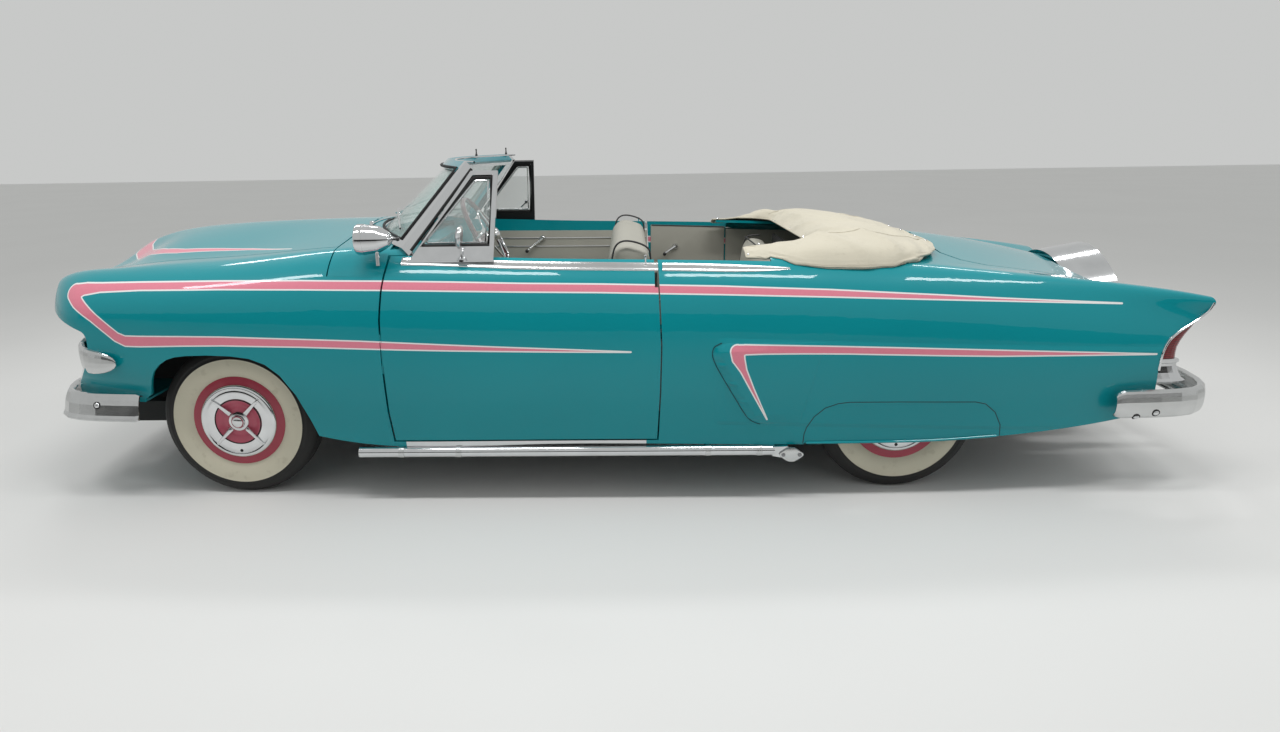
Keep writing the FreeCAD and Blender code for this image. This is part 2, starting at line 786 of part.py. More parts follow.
def sills():
    """Outer sill strips below the doors."""
    low = float(cell("door_bottom_z")) - GAP_NUMBER - REST_NUMBER
    rear = float(cell("door_rear_x")) + DOOR_LAP + REST_NUMBER
    front = float(cell("door_front_x")) - DOOR_LAP - REST_NUMBER
    strip = BODY.common(block((rear, float(CABIN_HALF) - 10 + float(REST), 0), (front, FAR, low)))
    return feature("sill_strips", Part.makeCompound([strip, mirrored(strip)]))


def dome_section(x_value, half, base, top):
    """Closed section of the folded top's cover."""
    points = [
        Vector(x_value, -half, base), Vector(x_value, -half * 0.9, base + 0.55 * (top - base)),
        Vector(x_value, -half * 0.45, base + 0.9 * (top - base)), Vector(x_value, 0, top),
        Vector(x_value, half * 0.45, base + 0.9 * (top - base)),
        Vector(x_value, half * 0.9, base + 0.55 * (top - base)), Vector(x_value, half, base),
    ]
    edges = [smooth(points), Part.LineSegment(points[-1], points[0]).toShape()]
    return Part.Wire(edges)


BOOT_PLAY = 3


def top_boot():
    """Soft cover over the folded top."""
    sections = (
        (-560, 700, 1010, 1082), (-720, 790, 1000, 1130), (-940, 815, 985, 1172),
        (-1180, 790, 980, 1150), (-1340, 700, 980, 1108), (-1440, 480, 990, 1082),
    )
    wires = [dome_section(*section) for section in sections]
    dome = Part.makeLoft(wires, True, False)
    half = float(cell("boot_well_half")) - BOOT_PLAY
    front = float(cell("deck_front_x"))
    well = block((float(cell("deck_opening_x")) + BOOT_PLAY, -half, 1000), (front, half, TOP))
    body = half_loft(-0.4)
    cutter = body.fuse(mirrored(body)).cut(well)
    return feature("top_boot", biggest(dome.cut(cutter)))


SCREEN_BACK = Vector(-0.66, 0, -0.75)


def screen_edge(height, margin, set_back):
    """Edge across the windshield at a share of its height."""
    share = 1 - margin
    middle = vec(1196, 0, 1120) * (1 - height) + vec(832, 0, cell("header_z")) * height
    reach = 800 * (1 - height) + 690 * height
    sweep = vec(-280, 0, -22) * (1 - height) + vec(-196, 0, 0) * height
    shift = SCREEN_BACK * set_back
    end = middle + sweep * share ** 2 + shift
    left = end + Vector(0, reach * share, 0)
    right = end - Vector(0, reach * share, 0)
    curve = Part.BezierCurve()
    curve.setPoles([right, middle - sweep * share ** 2 + shift, left])
    return curve.toShape()


def screen_slab(low, high, margin, start, depth):
    """Curved slab of the windshield between two heights."""
    face = Part.makeRuledSurface(
        screen_edge(low, margin, start), screen_edge(high, margin, start))
    return face.extrude(SCREEN_BACK * depth)


def windshield():
    """Windshield frame with header and pillars, and its curved glass."""
    depth = float(cell("pillar_thickness"))
    glass_thickness = float(cell("glass_thickness"))
    frame = screen_slab(0.02, 1.0, 0.0, 0, depth)
    opening = screen_slab(0.1, 0.92, 0.065, -20, depth + 60)
    groove = screen_slab(0.075, 0.945, 0.05, 16, glass_thickness + 0.6)
    feature("windshield_frame", frame.cut(opening).cut(groove))
    feature("windshield_glass", screen_slab(0.078, 0.942, 0.052, 16.3, glass_thickness))


def vent_windows():
    """Vent window frames and panes on the doors."""
    outline = [(876, 1040), (518, 1040), (500, 1424), (612, 1424)]
    inner = [(824, 1106), (534, 1106), (519, 1406), (604, 1406)]
    frame = side_prism(outline, 0, 22).cut(side_prism(inner, -5, 30))
    top = BODY.copy()
    top.translate(Vector(0, 0, REST_NUMBER))
    pane = side_prism([(x_value, z_value) for x_value, z_value in inner], 8, 13)
    for shape, name in ((frame, "vent_frame"), (pane, "vent_glass")):
        shape.rotate(Vector(0, 0, 1086), Vector(1, 0, 0), 18)
        shape.translate(Vector(0, float(CABIN_HALF) + 12, 0))
        add_pair(name, biggest(shape.cut(top)))


def dashboard():
    """Instrument panel across the cabin."""
    half = float(CABIN_HALF) - 40
    points = [
        (1149, 1056), (1149, 905), (1040, 886), (992, 905), (985, 1000), (1010, 1048),
    ]
    panel = padded("dashboard_panel", "XZ_Plane", points, 2 * half)
    return keep("dashboard", panel)


def seats():
    """Front and rear bench seats."""
    floor = float(cell("cabin_floor_z")) + float(REST)
    width = (CABIN_HALF - cell("seat_side_gap")) * 2
    front = [
        (520, floor), (560, 420), (578, 560), (540, 632), (130, 596), (30, 1092), (-40, 1108),
        (-150, 1070), (-110, 430), (-100, floor),
    ]
    rear = [
        (-330, floor), (-300, 420), (-290, 560), (-330, 612), (-640, 585), (-700, 975),
        (-740, 994), (-840, 980), (-840, floor),
    ]
    keep("front_seat", padded("front_seat", "XZ_Plane", front, width))
    keep("rear_seat", padded("rear_seat", "XZ_Plane", rear, width - 140))


def rail_plan():
    """Plan outline of the left frame rail."""
    width = float(cell("frame_rail_width")) / 2
    front = float(cell("frame_front_y"))
    rear = float(cell("frame_rear_y"))
    nose = float(cell("frame_front_x"))
    tail = float(cell("frame_rear_x"))
    return [
        (nose, front - width), (nose, front + width), (1240, front + width),
        (940, rear + width), (tail, rear + width), (tail, rear - width),
        (940, rear - width), (1240, front - width),
    ]


def behind_axle(share):
    """Place along the car at a share of the way from the rear axle to the frame's end."""
    axle = float(REAR_AXLE)
    return axle - share * (axle - float(cell("frame_rear_x")))


def rail_side(low):
    """Side outline of the frame rails."""
    tall = float(cell("frame_rail_height"))
    kick = float(cell("frame_kick_z")) - 30
    axle = float(REAR_AXLE)
    nose = float(cell("frame_front_x"))
    end = float(cell("frame_rear_x"))
    tail = FRAME_TAIL_Z
    drop, level = behind_axle(0.283), behind_axle(0.453)
    return [
        (nose, low), (nose, low + tall), (axle + 342, low + tall), (axle + 230, kick + tall),
        (drop, kick + tall), (level, tail + tall), (end, tail + tall), (end, tail),
        (level, tail), (drop, kick), (axle + 230, kick), (axle + 342, low),
    ]


FRAME_TAIL_Z = 330
SPRING_REAR_SHARE = 0.613
TAIL_MEMBER_X = -2110


def frame_low():
    """Height of the underside of the frame rails."""
    floor = cell("cabin_floor_z") - cell("floor_thickness") - REST
    return float(floor - cell("frame_rail_height"))


def chassis():
    """Ladder frame with its cross members and the two tow bores."""
    low = frame_low()
    tall = float(cell("frame_rail_height"))
    rail = plan_prism(rail_plan(), 0, TOP).common(side_prism(rail_side(low), -FAR, FAR))
    frame = rail.fuse(mirrored(rail))
    members = []
    front_spring = float(REAR_AXLE + cell("spring_front_reach"))
    rear_spring = behind_axle(SPRING_REAR_SHARE)
    end = float(cell("frame_rear_x"))
    for x_value in (2380, 1180, 420, front_spring - 20):
        members.append(block((x_value - 30, -400, low + 15), (x_value + 30, 400, low + tall - 20)))
    members.append(block((TAIL_MEMBER_X - 60, -400, 345), (TAIL_MEMBER_X, 400, 415)))
    carrier = block((TAIL_MEMBER_X - 60, -60, 400), (TAIL_MEMBER_X - 40.5, 60, 600)).fuse(
        block((end, -60, 500), (TAIL_MEMBER_X - 50, 60, 600)))
    members.append(carrier.cut(spare_envelope()))
    spring_side = float(cell("spring_y") - cell("spring_half_width") - REST)
    for side in (LEFT, RIGHT):
        for x_value, z_low, z_high in ((front_spring, 271, 312), (rear_spring, 299, 353)):
            y_low, y_high = sorted((side * 440, side * spring_side))
            members.append(block((x_value - 18, y_low, z_low), (x_value + 18, y_high, z_high)))
    frame = frame.fuse(members)
    pads = [block((540, side * float(cell("frame_rear_y")) - 30, low - 10),
                  (660, side * float(cell("frame_rear_y")) + 30, low + 5)) for side in (LEFT, RIGHT)]
    frame = frame.fuse(pads)
    bore = float(cell("tow_bore_radius"))
    for side in (LEFT, RIGHT):
        y_value = side * float(cell("frame_front_y"))
        frame = frame.cut(Part.makeCylinder(bore, tall + 20, Vector(2405, y_value, low - 10)))
        frame = frame.cut(Part.makeCylinder(
            float(cell("hitch_bore_radius")), 120, Vector(-2140, side * 300, 320)))
    return feature("chassis_frame", frame)


TOWER_Y = float(cell("frame_front_y") - cell("frame_rail_width") / 2 - REST)


def suspension():
    """Front cross member with upper and lower arms."""
    axle = float(FRONT_AXLE)
    low = frame_low()
    pin_y = float(KINGPIN_Y)
    gap = float(REST)
    middle = float(cell("tyre_radius"))
    tall = float(cell("knuckle_height")) / 2
    pin = float(cell("kingpin_radius")) + gap
    beam = block(
        (axle - 70, -TOWER_Y, low), (axle + 70, TOWER_Y, low + CROSS_BEAM_HEIGHT))
    parts = [beam]
    for side in (LEFT, RIGHT):
        for z_value in (middle + tall + gap, middle - tall - gap - 24):
            arm = plan_prism(
                [(axle - 150, side * 300), (axle - 150, side * 345), (axle - 30, side * (pin_y - 10)),
                 (axle - 24, side * (pin_y + 20)), (axle + 24, side * (pin_y + 20)),
                 (axle + 30, side * (pin_y - 10)), (axle + 150, side * 345), (axle + 150, side * 300)],
                z_value, z_value + 24)
            hole = Part.makeCylinder(pin, 60, Vector(axle, side * pin_y, z_value - 10))
            parts.append(arm.cut(hole))
        tower_low, tower_high = sorted((side * 300, side * TOWER_Y))
        parts.append(block((axle - 150, tower_low, low), (axle + 150, tower_high, middle + tall + 24)))
    whole = parts[0].fuse(parts[1:])
    for side in (LEFT, RIGHT):
        y_value = side * float(cell("frame_front_y"))
        half = float(cell("frame_rail_width")) / 2 + gap
        high = low + float(cell("frame_rail_height")) + gap
        slot = block((axle - 200, y_value - half, low - 1), (axle + 200, y_value + half, high))
        whole = whole.cut(slot)
    return feature("front_suspension", whole)


def knuckles():
    """Steering knuckles with kingpins and wheel spindles."""
    axle = FRONT_AXLE
    middle = cell("tyre_radius")
    tall = cell("knuckle_height")
    for name, side in SIDES.items():
        pin_y = KINGPIN_Y * side
        label = "knuckle_" + name
        upright = box(
            label + "_upright", (axle - 26, pin_y - 18, middle - tall / 2),
            (axle + 26, pin_y + 18, middle + tall / 2))
        pin = cylinder(
            label + "_pin", (axle, pin_y, middle - tall / 2 - 20), cell("kingpin_radius"), tall + 40)
        reach = FRONT_HALF + 44 - KINGPIN_Y
        start = pin_y if side == LEFT else pin_y - reach
        spindle = cylinder(
            label + "_spindle", (axle, start, middle), cell("spindle_radius"), reach, "y")
        keep(label, fuse(label, [upright, pin, spindle]))


SPRING_EYE = 20


def rear_axle():
    """Rear axle housing with its differential and leaf springs."""
    axle = REAR_AXLE
    middle = cell("tyre_radius")
    tube_end = REAR_HALF - 58
    tube = cylinder("axle_tube", (axle, -tube_end, middle), cell("axle_tube_radius"), tube_end * 2, "y")
    reach = REAR_HALF + 44
    shaft = cylinder("axle_shaft", (axle, -reach, middle), cell("spindle_radius"), reach * 2, "y")
    ball = turned("axle_differential", [
        (0, -100), (80, -92), (120, -52), (132, 0), (120, 52), (80, 92), (0, 100)])
    place(ball, axle, 0, middle)
    items = [tube, shaft, ball]
    middle_x = float(axle)
    half = float(cell("spring_half_width"))
    front = float(axle + cell("spring_front_reach")) + SPRING_EYE
    rear = behind_axle(SPRING_REAR_SHARE) - SPRING_EYE
    ahead = front - middle_x
    behind = middle_x - rear
    points = [
        (front, 300), (front - 0.17 * ahead, 262), (middle_x + 0.46 * ahead, 270), (middle_x, 306),
        (middle_x - 0.5 * behind, 276), (rear, 326), (rear, 300), (middle_x - 0.5 * behind, 244),
        (middle_x, 262), (middle_x + 0.46 * ahead, 240), (front - 0.17 * ahead, 236), (front, 270),
    ]
    for side in (LEFT, RIGHT):
        spring = doc.addObject("Part::Feature", "leaf_spring_%d" % (side + 1))
        y_value = side * float(cell("spring_y"))
        pad = block((middle_x - 40, y_value - half, 262), (middle_x + 40, y_value + half, 350))
        spring.Shape = side_prism(points, y_value - half, y_value + half).fuse(pad)
        items.append(spring)
    return keep("rear_axle", fuse("rear_axle", items))


WHEEL_HALF = cell("rim_width") / 2


def wheel_profile():
    """Outline of hub, brake drum, rim and cover, as (radius, y) points."""
    bore = cell("spindle_radius") + cell("running_gap")
    rim = cell("rim_radius")
    bead = cell("bead_radius")
    cover = cell("wheel_cover_radius")
    half = WHEEL_HALF
    drum = cell("drum_radius")
    return [
        (0, half + 26), (26, half + 24), (34, half + 6), (70, half - 6), (96, half + 8),
        (132, half + 14), (cover, half + 6), (bead, half + 3), (rim, half), (rim, half - 6),
        (bead, half - 10), (bead - 16, 12), (bead - 16, -12), (bead, 10 - half),
        (rim, 6 - half), (rim, -half), (bead - 6, -half), (bead - 24, -6), (drum + 8, 14),
        (drum, 14), (drum, -50), (bore, -50), (bore, 46), (0, 46),
    ]


def tyre_profile():
    """Outline of a tyre section, as (radius, y) points."""
    bead = cell("bead_radius") + 0.6
    rim = cell("rim_radius") + 1
    half = cell("tyre_width") / 2
    outer = cell("tyre_radius")
    seat = WHEEL_HALF - 10.6
    right = [
        (bead, seat), (rim + 2, seat + 4), (rim + 36, half), (outer - 45, half - 2),
        (outer - 8, half - 26), (outer, half - 50),
    ]
    inside = [(outer - 22, half - 40), (bead + 6, seat - 16)]
    points = right + [(radius, -y_value) for radius, y_value in reversed(right)]
    points += [(radius, -y_value) for radius, y_value in reversed(inside)] + inside
    return points


def wheels():
    """Four road wheels with tyres."""
    corners = {
        "front_left": (FRONT_AXLE, FRONT_HALF, LEFT),
        "front_right": (FRONT_AXLE, FRONT_HALF, RIGHT),
        "rear_left": (REAR_AXLE, REAR_HALF, LEFT),
        "rear_right": (REAR_AXLE, REAR_HALF, RIGHT),
    }
    for corner, (x_value, y_value, side) in corners.items():
        turn = Rotation() if side == LEFT else Rotation(Vector(0, 0, 1), 180)
        for kind, profile in (("wheel_", wheel_profile()), ("tyre_", tyre_profile())):
            body = turned(kind + corner, profile)
            place(body, x_value, y_value * side, cell("tyre_radius"), turn)
            keep(kind + corner, body)


def steering():
    """Steering column and steering wheel."""
    rake = float(cell("column_rake_deg"))
    tube = cell("steer_rim_radius")
    outer = cell("steer_wheel_radius")
    centre = (cell("steer_wheel_x"), cell("steer_wheel_y"), cell("steer_wheel_z"))
    turn = Rotation(Vector(0, 1, 0), 90 + rake)
    ring = turned("steering_ring", [
        (outer - tube * 2, tube * -0.4), (outer - tube * 1.4, -tube), (outer - tube * 0.6, -tube),
        (outer, tube * -0.4), (outer, tube * 0.4), (outer - tube * 0.6, tube),
        (outer - tube * 1.4, tube), (outer - tube * 2, tube * 0.4)], "XZ_Plane")
    hub = doc.addObject("Part::Cylinder", "steering_hub")
    bind(hub, {"Radius": 34, "Height": 46})
    hub.Placement = Placement(Vector(0, 0, -4), Rotation())
    spoke = doc.addObject("Part::Box", "steering_spoke")
    bind(spoke, {"Length": 22, "Width": (outer - tube) * 2, "Height": 12})
    spoke.Placement = Placement(Vector(-11, float(tube) - float(outer), -4), Rotation())
    wheel = fuse("steering_wheel", [ring, hub, spoke])
    doc.recompute()
    place(wheel, centre[0], centre[1], centre[2], turn)
    keep("steering_wheel", wheel)
    column = doc.addObject("Part::Cylinder", "steering_column")
    bind(column, {"Radius": cell("steer_tube_radius"), "Height": 611.6})
    start = Vector(0, 0, 42.4)
    offset = turn.multVec(start)
    place(column, centre[0] + offset.x, centre[1] + offset.y, centre[2] + offset.z, turn)
    keep("steering_column", column)


def bar_section(rows, point, outward, share):
    """Closed upright section of a bright bar at one point of its path."""
    corners = []
    for depth, rise in rows:
        depth = BAR_PIVOT + (depth - BAR_PIVOT) * share
        corners.append(point + outward * depth + Vector(0, 0, rise * share))
    return Part.makePolygon(corners + [corners[0]])


def bright_bar(path, rows, height):
    """Bar across the car: a section carried along a plan path of (x, y, share) rows."""
    whole = [(x_value, -y_value, share) for x_value, y_value, share in reversed(path[1:])] + path
    points = [Vector(row[0], row[1], height) for row in whole]
    guide = smooth(points).Curve
    wires = []
    for point, row in zip(points, whole):
        tangent = guide.tangent(guide.parameter(point))[0]
        outward = Vector(tangent.y, -tangent.x, 0) * math.copysign(1, point.x)
        wires.append(bar_section(rows, point, outward, row[2]))
    bar = Part.makeLoft(wires, True, True)
    return bar if bar.Volume > 0 else bar.reversed()


BAR_PIVOT = -14


def bumpers():
    """Front and rear bumper with the brackets that reach the frame."""
    front_x = float(cell("bumper_front_x"))
    front_z = float(cell("bumper_front_z"))
    low = frame_low()
    frame_nose = float(cell("frame_front_x") + REST)
    frame_end = float(cell("frame_rear_x") - REST)
    front = bright_bar(
        [(front_x, 0, 1), (front_x - 6, 300, 1), (front_x - 24, 560, 1), (front_x - 50, 695, 1),
         (front_x - 74, 762, 1), (front_x - 108, 826, 1), (front_x - 156, 872, 1),
         (front_x - 225, 903, 1), (front_x - 310, 921, 1), (front_x - 400, 930, 1),
         (2096, 937, 1), (2078, 938, 0.9)],
        [(-62, 50), (-55, 56), (-46, 58), (-38, 56), (-33, 49), (-25, 31), (-18, 10), (-13, -15),
         (-9, -34), (-3, -44), (0, -53), (-4, -59), (-12, -60), (-12, -53), (-8, -50),
         (-15, -40), (-20, -20), (-26, 8), (-36, 36), (-44, 50), (-55, 48), (-62, 43)],
        front_z)
    rear_x = float(cell("bumper_rear_x"))
    rear_z = float(cell("bumper_rear_z"))
    rear = bright_bar(
        [(rear_x, 0, 1), (rear_x + 4, 350, 1), (rear_x + 16, 600, 1), (rear_x + 38, 722, 1),
         (rear_x + 66, 795, 1), (rear_x + 104, 848, 1), (rear_x + 160, 888, 1),
         (rear_x + 240, 912, 1), (rear_x + 330, 924, 1), (rear_x + 420, 929, 1),
         (-2112, 932, 0.98), (-2094, 933, 0.9), (-2082, 933, 0.8), (-2076, 933, 0.66)],
        [(-36, 56), (-30, 61), (-22, 63), (-13, 59), (-7, 50), (-3, 35), (0, 14), (0, -10),
         (-3, -32), (-9, -49), (-18, -59), (-30, -62), (-30, -55), (-21, -52), (-16, -45),
         (-11, -30), (-8, -10), (-8, 12), (-11, 32), (-17, 50), (-25, 55), (-34, 50)],
        rear_z)
    for side in (LEFT, RIGHT):
        y_low, y_high = sorted((side * 360, side * 408))
        arm = side_prism(
            [(frame_nose, low + 10), (2470, low + 10), (2500, front_z - 20),
             (front_x - 26, front_z - 14), (front_x - 32, front_z + 14), (2470, front_z + 14),
             (frame_nose, low + 90)],
            y_low, y_high)
        front = front.fuse(arm)
        y_low, y_high = sorted((side * 406, side * 454))
        arm = side_prism(
            [(frame_end, 340), (frame_end, 425), (rear_x + 8, rear_z + 16),
             (rear_x + 8, rear_z - 16)], y_low, y_high)
        rear = rear.fuse(arm)
    feature("front_bumper", front)
    feature("rear_bumper", rear)


def grille():
    """Floating grille bar whose pods wrap the fenders."""
    tall = float(cell("grille_height")) / 2
    bar = bright_bar(
        [(2502, 0, 1), (2497, 300, 1), (2480, 500, 1), (2448, 660, 1), (2404, 762, 1),
         (2348, 840, 1), (2310, 876, 0.99), (2272, 901, 0.95), (2236, 915, 0.87),
         (2204, 924, 0.75), (2176, 929, 0.59), (2156, 932, 0.4), (2144, 933, 0.16)],
        [(-16, tall), (-9, tall * 0.94), (-4, tall * 0.74), (-1, tall * 0.45), (0, 0),
         (-1, -tall * 0.45), (-4, -tall * 0.74), (-9, -tall * 0.94), (-16, -tall),
         (-26, -tall * 0.9), (-33, -tall * 0.5), (-34, 0), (-33, tall * 0.5), (-26, tall * 0.9)],
        float(cell("grille_z")))
    side = BODY.common(block((0, float(cell("nose_panel_half")) - 10, 0), (FAR, FAR, TOP)))
    return feature("grille_bar", biggest(bar.cut(side).cut(mirrored(side))))


def rounded_stack(rows):
    """Solid through level half-oval sections of (z, root x, tip x, half width)."""
    wires = []
    for z_value, root, tip, half in rows:
        ring = []
        for step in range(HALF_OVAL_STEPS + 1):
            angle = math.pi * step / HALF_OVAL_STEPS
            reach = math.sin(angle) ** 0.8
            ring.append(Vector(
                root + (tip - root) * reach, TAIL_LAMP_Y - half * math.cos(angle), z_value))
        wires.append(Part.makePolygon(ring + [ring[0]]))
    stack = Part.makeLoft(wires, True, True)
    return stack if stack.Volume > 0 else stack.reversed()


HALF_OVAL_STEPS = 12
TAIL_LAMP_Y = 802


def lamps():
    """Headlamps, and tail lamps below the fins."""
    lamp_x = float(cell("nose_station_x")) - float(cell("lamp_recess"))
    radius = float(cell("lamp_radius")) + float(cell("lamp_wall")) / 2 - float(REST)
    profile = [
        Vector(lamp_x - 60, 0, 0), Vector(lamp_x - 60, radius, 0), Vector(lamp_x, radius, 0),
        Vector(lamp_x + 8, radius - 14, 0), Vector(lamp_x + 20, radius - 50, 0),
        Vector(lamp_x + 26, 0, 0),
    ]
    lamp = Part.Face(Part.makePolygon(profile + [profile[0]])).revolve(
        Vector(0, 0, 0), Vector(1, 0, 0), 360)
    lamp.translate(Vector(0, float(cell("lamp_y")), float(cell("lamp_z"))))
    feature("headlamps", Part.makeCompound([lamp, mirrored(lamp)]))
    gap = float(REST)
    tail = BODY.copy()
    tail.translate(Vector(-gap, 0, -gap))
    lens = rounded_stack([
        (598, -2240, -2361, 29), (620, -2241, -2360, 30), (646, -2246, -2362, 29),
        (671, -2254, -2371, 28), (701, -2270, -2387, 25), (731, -2304, -2408, 20),
        (752, -2344, -2422, 14), (766, -2370, -2430, 8)])
    bezel = rounded_stack([
        (494, -2250, -2416, 42), (502, -2250, -2419, 43), (514, -2250, -2401, 37),
        (538, -2250, -2386, 31), (566, -2250, -2373, 27), (577, -2250, -2371, 27),
        (582, -2250, -2381, 34), (592, -2250, -2381, 34), (597.7, -2250, -2372, 30)])
    lens = biggest(lens.cut(tail))
    bezel = biggest(bezel.cut(tail))
    feature("tail_lamps", Part.makeCompound([lens, mirrored(lens)]))
    feature("tail_lamp_bezels", Part.makeCompound([bezel, mirrored(bezel)]))


def spare_pose():
    """Place of the spare wheel, leaning forward at its top."""
    lean = Rotation(Vector(0, 1, 0), float(cell("spare_lean_deg")))
    return Placement(Vector(float(cell("spare_x")), 0, float(cell("spare_z"))), lean)


def spare_envelope():
    """Space of the spare wheel's band, with its resting clearance in front."""
    half = float(cell("spare_width")) / 2
    disc = Part.makeCylinder(
        float(cell("spare_radius")) + 3, 2 * half + float(REST), Vector(-half, 0, 0), Vector(1, 0, 0))
    disc.Placement = spare_pose().multiply(disc.Placement)
    return disc


def spare_wheel():
    """Spare wheel in its bright band behind the deck."""
    pose = spare_pose()
    radius = float(cell("spare_radius"))
    half = float(cell("spare_width")) / 2
    skin = float(cell("spare_skin"))
    ring = Part.makeCylinder(radius, 2 * half, Vector(-half, 0, 0), Vector(1, 0, 0))
    hollow = Part.makeCylinder(radius - skin, 2 * half - skin + 1, Vector(-half - 1, 0, 0), Vector(1, 0, 0))
    ring = ring.cut(hollow)
    ring.Placement = pose.multiply(ring.Placement)
    feature("spare_ring", ring)
    face = half - skin - float(REST)
    outer = [
        Vector(-half + 20, 0, 0), Vector(-half + 6, 60, 0), Vector(-half + 16, 170, 0),
        Vector(-half + 24, 205, 0), Vector(-half + 6, 240, 0), Vector(-half + 6, 300, 0),
        Vector(-half + 30, radius - 12, 0), Vector(face, radius - 12, 0), Vector(face, 0, 0),
    ]
    wheel = Part.Face(Part.makePolygon(outer + [outer[0]])).revolve(
        Vector(0, 0, 0), Vector(1, 0, 0), 360)
    wheel.Placement = pose.multiply(wheel.Placement)
    feature("spare_tyre", wheel)


def side_pipes():
    """Bright pipes below the sills."""
    radius = float(cell("side_pipe_radius"))
    y_value = float(cell("side_pipe_y"))
    z_value = float(cell("side_pipe_z"))
    rear = float(cell("side_pipe_rear_x"))
    length = float(cell("side_pipe_front_x")) - rear
    pipe = Part.makeCylinder(radius, length, Vector(rear, y_value, z_value), Vector(1, 0, 0))
    cap = side_prism(
        [(rear + 9, z_value + 20), (rear - 56, z_value + 22), (rear - 74, z_value),
         (rear - 58, z_value - 22), (rear - 26, z_value - 28), (rear + 9, z_value - 22)],
        y_value - 19, y_value + 19)
    pipe = pipe.fuse(cap)
    for x_value in (700, -380):
        pipe = pipe.fuse(block((x_value - 15, y_value - 32, z_value), (x_value + 15, y_value - 20, 300)))
    above = BODY.copy()
    above.translate(Vector(0, 0, -REST_NUMBER))
    pipe = biggest(pipe.cut(above))
    feature("side_pipes", Part.makeCompound([pipe, mirrored(pipe)]))


CROSS_BEAM_HEIGHT = 70


def engine():
    """Engine and gearbox as one plain block, the radiator and the fuel tank."""
    length = cell("engine_length")
    rear = cell("firewall_x") + 60
    low = frame_low() + CROSS_BEAM_HEIGHT + REST
    block_item = box(
        "engine_block", (rear, -(cell("engine_width") / 2), low),
        (rear + length, cell("engine_width") / 2, low + cell("engine_height")))
    keep("engine_block", block_item)
    radiator = box("radiator", (2345, -330, frame_low() + 80 + REST), (2394, 330, 900))
    keep("radiator", radiator)
    ceiling = cell("trunk_floor_z") - cell("floor_thickness") - REST
    front = REAR_AXLE - (REAR_AXLE - cell("frame_rear_x")) * 0.452
    tank = box("fuel_tank", (TAIL_MEMBER_X + 10, -380, 330), (front, 380, ceiling))
    keep("fuel_tank", tank)


def spotlight():
    """Bullet spotlight on its stem by the windshield pillar."""
    radius = float(cell("spotlight_radius"))
    profile = [
        Vector(-80, 0, 0), Vector(-60, 30, 0), Vector(-20, radius - 8, 0), Vector(40, radius, 0),
        Vector(58, radius, 0), Vector(66, radius - 20, 0), Vector(70, 0, 0),
    ]
    lamp = Part.Face(Part.makePolygon(profile + [profile[0]])).revolve(
        Vector(0, 0, 0), Vector(1, 0, 0), 360)
    x_value = float(cell("spotlight_x"))
    y_value = float(cell("spotlight_y"))
    z_value = float(cell("spotlight_z"))
    lamp.translate(Vector(x_value, y_value, z_value))
    stem = Part.makeCylinder(9, 110, Vector(x_value, y_value - 16, z_value - 110))
    top = BODY.copy()
    top.translate(Vector(0, 0, REST_NUMBER))
    feature("spotlight", biggest(lamp.fuse(stem).cut(top)))


def build_all():
    """Every sub-part of the car."""
    front_fenders()
    nose_panel()
    hood()
    cowl()
    doors()
    quarters()
    deck_panel()
    deck_lid()
    rear_panel()
    skirts()
    tub()
    sills()
    top_boot()
    windshield()
    vent_windows()
    dashboard()
    seats()
    chassis()
    suspension()
    knuckles()
    rear_axle()
    wheels()
    steering()
    bumpers()
    grille()
    lamps()
    spare_wheel()
    side_pipes()
    engine()
    spotlight()


def check_and_export():
    """Stop on a failed object, then write one file for each node."""
    doc.recompute()
    for item in doc.Objects:
        if "Invalid" in item.State or "Error" in item.State:
            raise RuntimeError("failed: " + item.Label)
    os.makedirs("parts", exist_ok=True)
    for name, item in nodes.items():
        if item.Shape.isNull() or not item.Shape.isValid() or item.Shape.Volume <= 0:
            raise RuntimeError("bad shape: " + name)
    for name, item in nodes.items():
        item.Shape.exportStep("parts/%s.step" % name)


build_all()
check_and_export()
print("nodes", len(nodes), "solids", sum(len(item.Shape.Solids) for item in nodes.values()))
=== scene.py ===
import json
import math

import bpy
from mathutils import Matrix, Vector, noise


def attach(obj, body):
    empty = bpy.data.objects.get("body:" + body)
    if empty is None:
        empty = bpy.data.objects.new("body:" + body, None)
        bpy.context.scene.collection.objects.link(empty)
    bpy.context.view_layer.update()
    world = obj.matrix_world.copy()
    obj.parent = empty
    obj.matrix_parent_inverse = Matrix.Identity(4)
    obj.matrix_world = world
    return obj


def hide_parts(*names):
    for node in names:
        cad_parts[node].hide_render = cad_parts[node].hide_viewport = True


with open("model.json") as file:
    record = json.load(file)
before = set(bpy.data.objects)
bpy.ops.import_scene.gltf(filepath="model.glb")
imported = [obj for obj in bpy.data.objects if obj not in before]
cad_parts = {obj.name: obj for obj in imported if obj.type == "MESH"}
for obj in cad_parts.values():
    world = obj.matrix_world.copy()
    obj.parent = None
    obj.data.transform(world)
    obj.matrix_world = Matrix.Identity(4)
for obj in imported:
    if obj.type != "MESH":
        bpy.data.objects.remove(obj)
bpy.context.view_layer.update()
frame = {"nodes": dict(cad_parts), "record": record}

NODES = frame["nodes"]
SIDES = {"left": 1, "right": -1}

# Colours
TEAL = (0.0, 0.222, 0.275)
PINK = (0.74, 0.225, 0.30)
PINSTRIPE = (0.84, 0.83, 0.82)
WHITEWALL = (0.62, 0.585, 0.46)
RIM_RED = (0.40, 0.055, 0.085)
CANVAS = (0.60, 0.56, 0.45)
HIDE = (0.37, 0.36, 0.31)
PIPING = (0.03, 0.03, 0.032)

